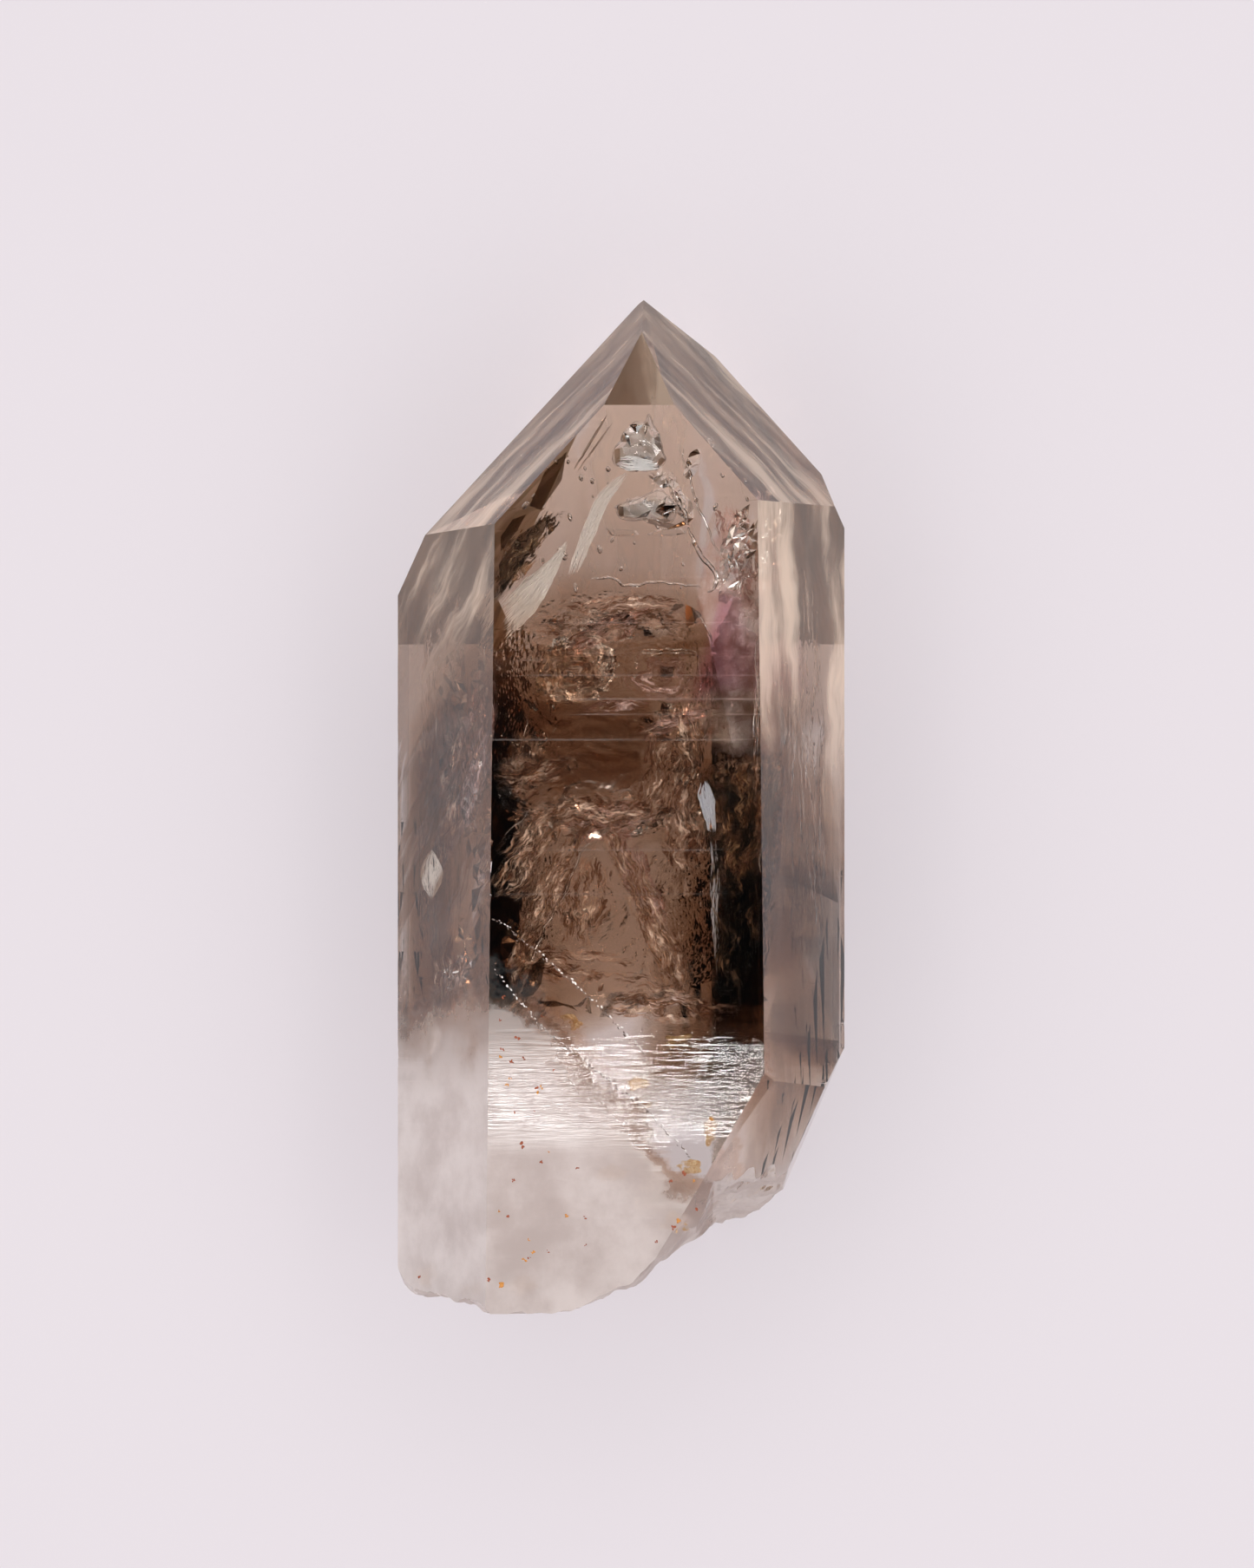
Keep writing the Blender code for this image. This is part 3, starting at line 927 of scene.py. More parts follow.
def tube(shape, points, radius, wobble=0.0, seed=0, closed=False, sides=6, steps=10):
    """Adds a thin hollow channel through the points, smooth, and pointed at its ends."""
    points = [Vector(point) for point in points]
    count = len(points) if closed else len(points) - 1
    path = []
    for k in range(count):
        if closed:
            a, b, c, d = (points[(k + shift) % len(points)] for shift in (-1, 0, 1, 2))
        else:
            a, b, c, d = (points[min(max(k + shift, 0), len(points) - 1)] for shift in (-1, 0, 1, 2))
        for step in range(steps):
            t = step / steps
            at = 2 * b + (c - a) * t
            at += (2 * a - 5 * b + 4 * c - d) * t * t
            at += (3 * b - a - 3 * c + d) * t ** 3
            path.append(0.5 * at)
    if not closed:
        path.append(points[-1])
    shift = Vector((seed * 3.1, seed * 1.7, 0.4))
    path = [at + wobble * noise.noise_vector(at * 1.5 + shift) for at in path]
    rings = []
    for k, at in enumerate(path):
        before = path[k - 1] if k or closed else at
        after = path[(k + 1) % len(path)] if k + 1 < len(path) or closed else at
        along = (after - before).normalized()
        first = along.cross(Vector((0, 0, 1))).normalized()
        second = along.cross(first)
        wide = radius * (0.65 + 0.7 * abs(noise.noise(at * 2.2 + shift)))
        if not closed:
            wide *= max(0.03, math.sin(math.pi * k / (len(path) - 1))) ** 0.5
        rings.append(ring_at(shape, at, first * wide, second * wide, sides))
    pairs = list(zip(rings, rings[1:] + rings[:1])) if closed else list(zip(rings, rings[1:]))
    for near, far in pairs:
        for side in range(sides):
            after = (side + 1) % sides
            shape.faces.new((near[side], near[after], far[after], far[side]))
    if not closed:
        shape.faces.new(rings[0][::-1])
        shape.faces.new(rings[-1])


def slab(shape, upper, lower):
    """Joins two outlines of the same number of corners to a closed flat solid."""
    top = [shape.verts.new(corner) for corner in upper]
    bottom = [shape.verts.new(corner) for corner in lower]
    shape.faces.new(top)
    shape.faces.new(bottom[::-1])
    for k in range(len(top)):
        after = (k + 1) % len(top)
        shape.faces.new((top[k], bottom[k], bottom[after], top[after]))


def pane(shape, outline, thickness):
    """Adds a flat closed pane below the given corners, whichever way round they run."""
    top = [Vector(corner) for corner in outline]
    turn = sum(a.x * b.y - b.x * a.y for a, b in zip(top, top[1:] + top[:1]))
    if turn < 0:
        top.reverse()
    slab(shape, top, [corner - Vector((0, 0, thickness)) for corner in top])


def negative_crystal(shape, outline, z, depth, inset):
    """Adds a flat hollow. Its rim slopes in below, so that it shows as a dark or bright line."""
    top = [Vector((x, y, z)) for x, y in outline]
    centre = sum(top, Vector()) / len(top)
    low = []
    for corner in top:
        inward = centre - corner
        inward = inward.normalized() * min(inset, inward.length * 0.6)
        low.append(corner + inward - Vector((0, 0, depth)))
    slab(shape, top, low)


def turn_inside_out(shape):
    """Turns every face of the shape, so that its outside becomes the inside of a hollow."""
    bmesh.ops.recalc_face_normals(shape, faces=shape.faces)
    bmesh.ops.reverse_faces(shape, faces=shape.faces)

# %% [markdown]
# ## Flat-faced hollows, drops and needles
#
# A slow-growing hollow takes the crystal's own faces. So it is cut from a block by planes that run with
# them, as the crystal was. Drops are small rounded balls, and needles are thin straight tubes with pointed
# ends.

# %% Flat-faced hollows, drops and needles
NEEDLE_SIDES = 8
NEEDLE_STEPS = 14


def faceted_hollow(shape, middle, size, seed):
    """Adds a hollow with flat faces that run with the crystal's own, as a crystal turned inside out."""
    chance = random.Random(seed)
    planes = []
    for normal in [normal for _, normal in PRISM.values()] + [rhomb_normal(k + 0.5) for k in range(6)]:
        reach = Vector((abs(normal.x) * size[0], abs(normal.y) * size[1], abs(normal.z) * size[2])).length
        planes.append((normal * reach * chance.uniform(0.6, 1.0), normal))
    for k in range(3):
        normal = Vector((chance.uniform(-0.5, 0.5), -1, chance.uniform(-0.5, 0.5))).normalized()
        planes.append((normal * size[1] * chance.uniform(0.7, 1.0), normal))
    hollow = cut_block(planes)
    bmesh.ops.translate(hollow, vec=Vector(middle), verts=hollow.verts)
    bmesh.ops.reverse_faces(hollow, faces=hollow.faces)
    join(shape, hollow)


def join(shape, other):
    """Adds a second bmesh to the first, and frees it."""
    match = {vertex: shape.verts.new(vertex.co) for vertex in other.verts}
    for face in other.faces:
        shape.faces.new([match[vertex] for vertex in face.verts])
    other.free()


def drop(shape, middle, radii, turn=0.0, detail=2):
    """Adds a smooth rounded hollow."""
    matrix = Matrix.Translation(Vector(middle)) @ Matrix.Rotation(turn, 4, "Z")
    matrix = matrix @ Matrix.Diagonal((*radii, 1))
    ball = bmesh.new()
    bmesh.ops.create_icosphere(ball, subdivisions=detail, radius=1, matrix=matrix)
    bmesh.ops.reverse_faces(ball, faces=ball.faces)
    join(shape, ball)


def needle(shape, start, end, radius):
    """Adds a thin straight hollow that tapers to both ends."""
    start, end = Vector(start), Vector(end)
    along = (end - start).normalized()
    first = along.orthogonal().normalized()
    second = along.cross(first)
    rings = []
    for step in range(1, NEEDLE_STEPS):
        share = step / NEEDLE_STEPS
        wide = radius * math.sin(math.pi * share) ** 0.4
        rings.append(ring_at(shape, start.lerp(end, share), first * wide, second * wide, NEEDLE_SIDES))
    tips = shape.verts.new(start), shape.verts.new(end)
    for side in range(NEEDLE_SIDES):
        after = (side + 1) % NEEDLE_SIDES
        shape.faces.new((tips[0], rings[0][side], rings[0][after]))
        shape.faces.new((tips[1], rings[-1][after], rings[-1][side]))
        for near, far in zip(rings, rings[1:]):
            shape.faces.new((near[after], near[side], far[side], far[after]))

# %% [markdown]
# ## Healed cracks
#
# The middle of the crystal is crowded with cracks that healed. Where gas stayed in them they're a net of
# small flat shards, and each shard mirrors another piece of the sky or of the dark stone, which is what
# makes them sparkle. They lie at many depths. Each gets its own seed, so that no two are alike.

# %% Healed cracks
LEFT_LEAN = Vector((0.5, 0.0, 0.866))


def under_left(x, y, depth):
    """The place under the left side face, over x and y, at a depth square to the face."""
    point, normal = PRISM["upper_left"]
    z = point.z - (x - point.x) * normal.x / normal.z
    return Vector((x, y, z)) - normal * depth


# middle, half across, half along, thickness, crumple, cell
CRACKLED = (
    ((0.2, 11.0, 17.0), (4.7, 0.1, 0.4), (0.1, 1.1, 0.5), 0.05, 1.0, 0.55),
    ((-1.1, 10.6, 18.5), (1.2, 0.2, 0.2), (-0.2, 0.9, 0.3), 0.06, 0.9, 0.30),
    ((3.2, 4.9, 17.5), (2.2, 0.4, 0.3), (-0.4, 1.2, 0.4), 0.06, 1.2, 0.36),
    ((3.7, 2.4, 16.5), (0.8, 0.1, 0.3), (-0.2, 1.6, 0.4), 0.06, 1.0, 0.36),
    ((-5.7, 2.6, 17.0), (1.5, 0.2, 0.5), (0.2, 1.8, 0.3), 0.05, 0.8, 0.42),
    ((-2.8, 2.4, 18.0), (0.5, 0, 0.1), (0, 0.45, 0.1), 0.08, 0.6, 0.20),
    ((-1.6, -0.9, 16.5), (5.3, 0.1, 0.5), (0.3, 1.2, 0.6), 0.05, 1.2, 0.40),
    ((4.4, -0.4, 15.5), (1.2, 0.2, 0.4), (-0.3, 2.6, 0.5), 0.06, 1.2, 0.36),
    ((6.9, 14.8, 17.0), (1.1, 0.3, -0.4), (0.4, 2.6, -0.3), 0.06, 1.2, 0.34),
    ((-9.2, 4.5, 16.5), (0.9, 0.1, 1.5), (0.3, 5.6, -0.4), 0.05, 0.9, 0.45),
    (under_left(-9.9, -9.8, 0.5), LEFT_LEAN * 1.7, (0.3, 1.0, 0.5), 0.06, 0.7, 0.34),
    (under_left(-8.7, 3.4, 0.45), LEFT_LEAN * 1.3, (0.3, 6.0, 0.5), 0.05, 0.6, 0.36),
    (under_left(-9.2, 0.3, 0.6), LEFT_LEAN * 1.2, (0.1, 1.3, 0.2), 0.08, 0.7, 0.55),
    (under_left(-8.6, -4.6, 0.6), LEFT_LEAN * 0.7, (0.1, 3.2, 0.2), 0.05, 0.6, 0.40),
    ((-2.6, -6.6, 14.0), (1.0, 0.1, 0.2), (0, 0.5, 0.3), 0.06, 0.6, 0.26),
    ((-5.9, -9.4, 13.0), (1.0, 0.6, 0.4), (-0.9, 2.4, 0.3), 0.05, 0.9, 0.45),
    ((0.5, -11.6, 12.0), (3.2, 0.3, 0.4), (0, 0.8, 0.5), 0.05, 0.9, 0.50),
)
cracks = bmesh.new()
for seed, values in enumerate(CRACKLED, 1):
    crackle(cracks, *values, seed)
film(
    cracks, (-2.6, 8.2, 17.5), (2.3, 0.1, 0.3), (-0.1, 1.9, 0.4), 0.10, 0.5, (0.4, 0.6), 21, waves=0.11,
    rings=60, spokes=90
)
turn_inside_out(cracks)
print("crackled films:", len(CRACKLED) + 1, "with", len(cracks.faces), "faces")
new_object("healed_cracks", cracks, gas)

# %% [markdown]
# ## Films of water
#
# Where a crack healed round water instead of gas, it bends light only a little. These films are wide and
# wavy. They don't sparkle, but whatever lies under them looks as if it were seen through old window glass.

# %% Films of water
# middle, half across, half along, thickness, crumple, and how fine the folds are across and along
WAVY = (
    ((-1.0, 5.5, 19.0), (6.5, 0, 0.3), (0.2, 6.8, -0.3), 0.9, 0.9, (0.35, 0.55)),
    ((0.5, -5.5, 16.0), (6.3, 0.2, -0.4), (0, 6.0, 0.4), 0.9, 0.9, (0.4, 0.5)),
    ((9.4, 2.0, 15.5), (1.6, 0, -2.2), (0, 12.0, 0.3), 0.7, 0.5, (1.2, 0.18)),
    ((-9.6, 2.0, 15.0), (1.6, 0, 2.2), (0.3, 11.5, 0.3), 0.8, 0.8, (0.9, 0.35)),
)
wavy = bmesh.new()
for seed, values in enumerate(WAVY, 61):
    film(wavy, *values, seed, ragged=0.15, square=0.4, rings=40, spokes=140)
new_object("water_films", wavy, water)
print("films of water:", len(WAVY))

# %% [markdown]
# ## Veils
#
# Other cracks healed with crowds of hollows too small to see one by one. They show as silky veils, drawn
# out into curved threads. A veil is a thin crumpled sheet that is clear but for its threads, which are
# half-clear beige, pink or bronze. Each sheet carries its own grain, so the threads follow it round a bend,
# and they fade out at its rim.
#
# The threads could be curves with thickness, but thousands of them would be heavier and no finer. The
# sheets are named by their colour. The arms are the two that spread like a V towards the base.

# %% Veils
def silk_material(name, dark, light, cover, fill):
    """A clear sheet with fine silky threads that run with the film's own grain."""
    material, tree, shader = nodes_of(name)
    position = add_node(tree, "ShaderNodeNewGeometry").outputs["Position"]
    fade = add_node(tree, "ShaderNodeAttribute", attribute_name="fade").outputs["Fac"]
    flow = add_node(tree, "ShaderNodeAttribute", attribute_name="flow").outputs["Vector"]
    across, along, seed = parts_of(tree, flow)
    bend = product(tree, minus(tree, linked_noise(tree, position, 420.0, 3.0), 0.5), 2.0)
    across = total(tree, across, bend)
    threads = linked_noise(tree, vector_of(tree, across, product(tree, along, 0.16), seed), 5.0, 7.0, 0.70)
    folds = linked_noise(tree, vector_of(tree, across, product(tree, along, 0.3), seed), 0.8, 3.0)
    tones = linked_noise(tree, vector_of(tree, across, product(tree, along, 0.3), seed), 1.7, 5.0, 0.6)
    share = product(
        tree, ramp(tree, threads, 0.46, 0.64), ramp(tree, folds, 0.36 - fill, 0.60 - fill), cover
    )
    share = product(tree, share, ramp(tree, fade, 0.0, 0.45))
    cover_partly(tree, shader, share, blend_colour(tree, ramp(tree, tones, 0.42, 0.60), dark, light))
    add_bump(tree, shader, threads, 0.00012)
    shader.inputs["Roughness"].default_value = 0.2
    shader.inputs["IOR"].default_value = 1.01
    return material


# middle, half across the threads, half along them, and True where the threads run round the middle
BEIGE = (
    ((-2.9, 7.8, 19.6), (2.5, 0, 0.1), (0, 1.9, 0.2), True),
    ((0.2, 11.0, 20.0), (0, 1.5, 0.3), (5.4, 0.3, 0.2)),
    ((-5.4, 2.0, 19.4), (0, 1.4, 0.2), (2.4, 0.3, 0.2)),
    ((-1.5, -0.2, 19.4), (-0.1, 1.6, 0.2), (3.8, 0.3, 0.2)),
    ((2.9, 1.4, 19.3), (1.9, -0.6, 0.1), (0.9, 2.5, 0.2)),
    ((3.6, -1.9, 19.3), (1.3, 0.3, 0.1), (-0.5, 2.2, 0.1)),
    ((-2.2, -9.6, 19.0), (0, 1.3, 0.2), (3.8, -0.4, 0.1)),
    ((-2.2, -5.6, 17.4), (1.9, 0, 0.1), (0.3, 2.6, 0.1)),
    ((2.6, -11.8, 18.6), (0, 1.2, 0.2), (4.4, -0.2, 0.1)),
    ((-5.8, -12.6, 19.6), (1.5, -0.5, 0.1), (0.9, 1.9, 0.1)),
    (under_left(-10.4, 0.4, 0.6), LEFT_LEAN * 2.4, (0.9, 5.4, 1.56)),
    (under_left(-10.4, -9.8, 0.5), LEFT_LEAN * 2.4, (0.2, 2.4, 0.35)),
)
ARMS = (
    ((1.5, -6.0, 19.4), (0.9, 0.42, 0.1), (2.4, -5.2, 0.1)),
    ((2.4, -8.4, 19.0), (0.7, 0.3, 0.1), (1.5, -3.4, 0.1)),
    ((-4.5, -5.8, 19.4), (0.8, -0.4, 0.1), (-2.4, -4.9, 0.1)),
    ((-5.5, -2.4, 19.7), (1.1, -0.9, 0.1), (1.7, 2.0, 0.1)),
    ((-6.2, -4.2, 19.6), (0.9, -0.7, 0.1), (1.2, 1.5, 0.1)),
    ((3.9, 4.2, 19.9), (0.9, 0.6, 0.1), (-0.7, 1.9, 0.1)),
)
PINK = (
    ((6.9, 15.0, 18.6), (1.2, -0.3, -0.2), (-0.6, 3.2, -0.1)),
    (under_left(-8.8, 3.6, 0.35), LEFT_LEAN * 1.7, (0.5, 6.6, 0.87)),
    ((2.7, 7.5, 19.8), (2.3, 0, 0.1), (0, 1.5, 0.2), True),
    ((3.3, 5.0, 19.7), (1.2, 1.0, 0.1), (2.2, 0.5, 0.2)),
    ((-1.0, 10.4, 19.2), (0.4, 1.0, 0.1), (2.6, 1.1, 0.2)),
    ((-0.4, 5.9, 19.8), (0, 0.5, 0.1), (2.2, 0.1, 0.2)),
    ((-0.6, -0.9, 18.8), (0.2, 1.3, 0.1), (2.6, 0.2, 0.2)),
    ((1.0, -4.2, 18.7), (1.0, 0.4, 0.1), (1.4, -3.0, 0.1)),
)
BRONZE = (
    ((6.8, -4.6, 19.6), (1.6, 0, -0.3), (0.2, 7.4, -0.2)),
    ((6.4, 0.8, 19.0), (1.9, 0, -0.3), (0.2, 2.6, -0.2)),
    ((-5.6, 15.0, 20.9), (0.8, -0.7, 0.1), (2.0, 2.6, 0.1)),
)
# name, sheets, dark and light colour, cover, and how far the threads fill the sheet
SILKS = (
    ("beige_silk", BEIGE, (0.36, 0.20, 0.13, 1), (0.97, 0.77, 0.64, 1), 0.75, 0.03),
    ("arm_silk", ARMS, (0.46, 0.28, 0.19, 1), (0.96, 0.76, 0.62, 1), 0.85, 0.2),
    ("pink_silk", PINK, (0.60, 0.40, 0.35, 1), (0.98, 0.78, 0.74, 1), 0.66, 0.1),
    ("bronze_silk", BRONZE, (0.10, 0.06, 0.035, 1), (0.62, 0.42, 0.27, 1), 0.60, 0.08),
)
for name, sheets, dark_tone, light_tone, cover, fill in SILKS:
    silk = bmesh.new()
    for seed, (middle, across, along, *whorl) in enumerate(sheets, 41):
        film(silk, middle, across, along, 0.06, 0.9, (0.7, 0.7), seed, ragged=0.5, whorl=bool(whorl),
             rings=24, spokes=80)
    bmesh.ops.reverse_faces(silk, faces=silk.faces)
    new_object(name, silk, silk_material(name, dark_tone, light_tone, cover, fill))
    print(name, "sheets:", len(sheets))

# %% [markdown]
# ## Soft veils
#
# The finest dust has no threads at all. It hangs in flat clouds: a pale one under the right side, and a
# brown one over the dark part. The same material, in ochre, serves the stains near the base.

# %% Soft veils
def soft_veil(name, dark, light, cover, pitch):
    """A sheet of fine dust in the stone: a soft cloud with no threads."""
    material, tree, shader = nodes_of(name)
    position = add_node(tree, "ShaderNodeNewGeometry").outputs["Position"]
    cloud = linked_noise(tree, position, pitch, 4.0, 0.6)
    grain = linked_noise(tree, position, pitch * 9, 4.0, 0.7)
    fade = add_node(tree, "ShaderNodeAttribute", attribute_name="fade").outputs["Fac"]
    share = product(
        tree, ramp(tree, cloud, 0.36, 0.62), ramp(tree, grain, 0.3, 0.6, 0.4, 1.0),
        ramp(tree, fade, 0.0, 0.35), cover
    )
    cover_partly(tree, shader, share, blend_colour(tree, ramp(tree, grain, 0.35, 0.65), dark, light))
    shader.inputs["Roughness"].default_value = 0.1
    shader.inputs["IOR"].default_value = 1.01
    return material


dust = bmesh.new()
film(
    dust, (6.7, 9.6, 17.5), (2.6, 0, -1.0), (0.2, 7.4, 0), 0.1, 0.9, (0.4, 0.4), 91, ragged=0.15, square=0.5
)
bmesh.ops.reverse_faces(dust, faces=dust.faces)
new_object(
    "pale_dust", dust, soft_veil("pale_dust", (0.90, 0.74, 0.70, 1), (1.0, 0.90, 0.86, 1), 0.32, 90.0),
)
dust = bmesh.new()
film(
    dust, (6.9, -0.6, 18.2), (1.6, 0, -0.6), (0.1, 4.6, -0.2), 0.1, 0.6, (0.5, 0.5), 93, ragged=0.2,
    square=0.4
)
bmesh.ops.reverse_faces(dust, faces=dust.faces)
new_object(
    "brown_dust", dust, soft_veil("brown_dust", (0.20, 0.12, 0.08, 1), (0.75, 0.52, 0.38, 1), 0.75, 260.0),
)

# %% [markdown]
# ## White streaks
#
# A few hollows catch the sky like small mirrors. The longest is the curved white streak left of the middle,
# and a pale wedge lies below it. Ovals of the same white lie under the left side face, and a bluish shard
# with a thin tail on the right. Each is a bundle of fine pale fibres, laid side by side between two curves,
# and their pale colour is a painted reflection of the sky. A plain white patch would look painted on: the
# fibres give it a grain and soft ends.

# %% White streaks
def painted_light_material(name, colour, clear):
    """Half-clear pale colour, painted in place of reflected light."""
    return plain_material(name, Base_Color=colour, Roughness=0.2, IOR=1.02, Transmission_Weight=clear)


def fibres(shape, first, second, count, radius, seed, drop_down=0.6):
    """Fills the strip between two curves, each of the same number of points, with fine fibres."""
    chance = random.Random(seed)
    for _ in range(count):
        share = chance.random()
        begin = chance.uniform(0, 0.45)
        end = chance.uniform(begin + 0.3, 1.0)
        points = []
        for step in range(4):
            place = (begin + (end - begin) * step / 3) * (len(first) - 1)
            k = min(int(place), len(first) - 2)
            near = Vector(first[k]).lerp(Vector(first[k + 1]), place - k)
            far = Vector(second[k]).lerp(Vector(second[k + 1]), place - k)
            points.append(near.lerp(far, share) - Vector((0, 0, drop_down * chance.random())))
        tube(
            shape, points, radius * chance.uniform(0.6, 1.4), wobble=0.12, seed=chance.randrange(99),
            sides=4, steps=4
        )


reflecting_fibres = bmesh.new()
STREAK = (
    ((0.4, 19.8, 20.6), (-1.3, 18.4, 20.5), (-2.3, 16.2, 20.4), (-3.2, 13.6, 20.2)),
    ((0.3, 19.4, 20.6), (-0.9, 17.7, 20.5), (-1.6, 15.9, 20.4), (-2.5, 13.8, 20.2))
)
WEDGE = (
    ((-3.2, 15.6, 19.8), (-4.4, 14.3, 19.4), (-5.8, 13.2, 19.0), (-7.1, 11.9, 18.6)),
    ((-3.2, 15.4, 19.8), (-3.9, 13.6, 19.4), (-5.0, 11.6, 19.0), (-6.9, 9.6, 18.6))
)
# place across, upper end, lower end and half width
OVALS = ((-8.45, 12.9, 10.9, 0.42), (-11.3, -2.6, -5.6, 0.7), (-11.4, -12.2, -14.8, 0.6))
# Painted reflection: pale fibres stand in for the sky mirrored by these hollows.
fibres(reflecting_fibres, *STREAK, 170, 0.022, 1)
fibres(reflecting_fibres, *WEDGE, 260, 0.03, 2)
for seed, (x, high, low, wide) in enumerate(OVALS, 50):
    sides = []
    for side in (-1, 1):
        swing = [side * wide * math.sin(math.pi * step / 4) for step in range(5)]
        sides.append(
            [under_left(x + swing[step], high + (low - high) * step / 4, 0.25) for step in range(5)]
        )
    fibres(reflecting_fibres, *sides, 110, 0.03, seed, 0.15)
new_object("reflection_streaks", reflecting_fibres, painted_light_material("painted_reflection_fibre", (1.0, 0.90, 0.82, 1), 0.30))
shard = bmesh.new()
SHARD = (
    ((4.7, 1.4, 20.3), (4.6, 0.4, 20.2), (4.9, -0.6, 20.1), (5.2, -1.6, 20.0)),
    ((5.1, 1.5, 20.3), (5.5, 0.4, 20.2), (5.6, -0.6, 20.1), (5.6, -1.6, 20.0))
)
TAIL = (
    ((5.2, -1.6, 19.9), (5.3, -4.0, 19.5), (5.4, -7.0, 19.0), (5.6, -10.0, 18.4)),
    ((5.6, -1.6, 19.9), (5.8, -4.0, 19.5), (5.7, -7.0, 19.0), (5.8, -10.0, 18.4))
)
# Painted reflection: bluish fibres stand in for the sky mirrored by the shard.
fibres(shard, *SHARD, 90, 0.035, 4, 0.3)
fibres(shard, *TAIL, 14, 0.022, 5)
new_object("bluish_reflection_shard", shard, painted_light_material("bluish_reflection_fibre", (0.84, 0.86, 0.93, 1), 0.45))
print("white streaks: 5 bundles of fibres")

# %% [markdown]
# ## The hollows near the point
#
# Below the point lies the clearest part of the crystal, with a chunky hollow high up and stepped ones under
# it, each the lower edge of an earlier point. The outlines are drawn as seen from above, in millimetres. A
# thin tube along the rim and a crackled film give them their bright edges and their broken reflections. The
# pale floor in the crown and the step is painted light, and the white fibres at the bottom of the crown are
# painted glints.

# %% Hollows near the point
# outlines from above
CROWN = (
    (1.66, 23.08), (1.97, 22.36), (2.29, 21.83), (2.47, 20.93), (2.65, 20.40), (2.11, 19.85),
    (1.12, 19.77), (-0.31, 20.12), (-0.40, 21.02), (0.0, 21.47), (0.09, 21.92), (0.58, 22.36),
    (0.85, 22.63), (1.39, 22.63),
)
STEP = (
    (-0.18, 17.70), (-0.13, 17.08), (0.67, 16.85), (1.75, 16.94), (2.47, 16.72), (3.0, 16.80),
    (3.27, 17.25), (3.14, 17.89), (2.73, 18.33), (2.2, 18.6), (0.85, 18.06),
)
ARCH = (
    (-3.8, -0.1), (-3.3, 1.1), (-2.4, 1.55), (-1.3, 1.7), (-0.3, 1.5), (0.6, 1.0), (1.2, 0.1),
    (0.2, 0.5), (-1.3, 0.9), (-2.8, 0.6),
)
# outline from above, height of its top, depth, and how far its rim slopes in
HOLLOWS = (
    (CROWN, 21.0, 0.8, 0.42),
    (((0.0, 21.2), (0.8, 21.9), (1.9, 21.7), (2.3, 20.9), (1.5, 20.6), (0.3, 20.7)), 19.8, 0.25, 0.16),
    (STEP, 20.6, 0.7, 0.34),
    (((2.25, 17.1), (2.7, 18.25), (3.1, 17.9), (3.25, 17.3), (2.85, 16.85)), 19.7, 0.5, 0.42),
    (((-0.95, 16.4), (0.9, 16.25), (1.1, 16.0), (0.1, 15.9), (-0.6, 15.95)), 20.3, 0.3, 0.16),
    (((1.5, 16.0), (2.3, 16.35), (3.6, 16.4), (3.9, 16.1), (2.9, 15.9)), 20.3, 0.3, 0.16),
    (((6.7, 14.4), (7.3, 15.2), (7.9, 14.9), (7.9, 13.8), (7.1, 13.4)), 19.6, 0.3, 0.2),
    (((8.1, 5.9), (8.5, 5.4), (8.9, 4.4), (8.6, 3.5), (8.2, 3.7), (8.0, 4.8)), 17.6, 0.4, 0.2),
    (ARCH, 19.2, 0.6, 0.34),
)
# middle, half across, half along, thickness, crumple, cell, seed
SHATTERED = (
    ((1.2, 21.3, 21.0), (1.1, 0.1, 0.2), (-0.1, 1.2, 0.3), 0.10, 0.7, 0.42, 77),
    ((1.8, 17.6, 20.7), (1.5, 0.1, 0.2), (0.1, 0.7, 0.2), 0.10, 0.7, 0.40, 78),
    ((6.9, 14.9, 19.2), (1.0, 0.2, -0.2), (0.3, 2.2, -0.2), 0.08, 0.8, 0.36, 79),
    ((1.15, 20.2, 20.3), (1.3, 0, 0.1), (0, 0.42, 0.2), 0.10, 0.7, 0.22, 71),
    ((2.5, 19.4, 20.2), (0.8, -0.3, 0.1), (0.2, 0.5, 0.1), 0.08, 0.6, 0.22, 72),
    ((3.4, 18.0, 20.0), (0.35, 0, 0.1), (-0.5, 1.5, 0.1), 0.08, 0.6, 0.20, 75),
    ((1.0, 17.6, 19.4), (1.2, 0, 0.1), (0, 0.6, 0.1), 0.06, 0.5, 0.28, 76),
    ((4.2, 20.2, 20.0), (0.4, 0, 0.1), (0.3, 0.9, 0.1), 0.06, 0.5, 0.30, 73),
)
chambers = bmesh.new()
for values in HOLLOWS:
    negative_crystal(chambers, *values)
for outline, z in ((CROWN, 21.05), (STEP, 20.65)):
    tube(chambers, [(x, y, z) for x, y in outline], 0.05, wobble=0.05, seed=5, closed=True, steps=5)
for values in SHATTERED:
    crackle(chambers, *values)
turn_inside_out(chambers)
new_object("gas_chambers", chambers, gas)

# Painted light: pale half-clear panes brighten the floors of the crown and the step.
light_fills = bmesh.new()
pane(light_fills, [(x * 0.9 + 0.13, y * 0.9 + 2.13, 20.1) for x, y in CROWN], 0.05)
pane(light_fills, [(x * 0.85 + 0.2, y * 0.85 + 2.65, 19.8) for x, y in STEP], 0.05)
new_object("painted_light_floors", light_fills, painted_light_material("painted_light_floor", (0.97, 0.90, 0.83, 1), 0.72))
# Painted glints: pale fibres at the bottom of the crown hollow.
glints = bmesh.new()
GLINTS = (
    ((-0.2, 20.6, 21.2), (0.7, 20.7, 21.2), (1.5, 20.4, 21.2), (2.3, 20.3, 21.2)),
    ((-0.2, 20.0, 21.2), (0.7, 19.8, 21.2), (1.5, 19.8, 21.2), (2.3, 19.9, 21.2))
)
fibres(glints, *GLINTS, 60, 0.03, 8, 0.2)
new_object("white_glints", glints, painted_light_material("glint", (0.98, 0.95, 0.93, 1), 0.2))

# %% [markdown]
# ## Fine channels
#
# Bright lines join the hollows and mark the lower ends of the veils. They are thin tubes through a few
# points each, with a wobble, because nothing in a stone runs quite straight but its faces.

# %% Fine channels
lines = bmesh.new()
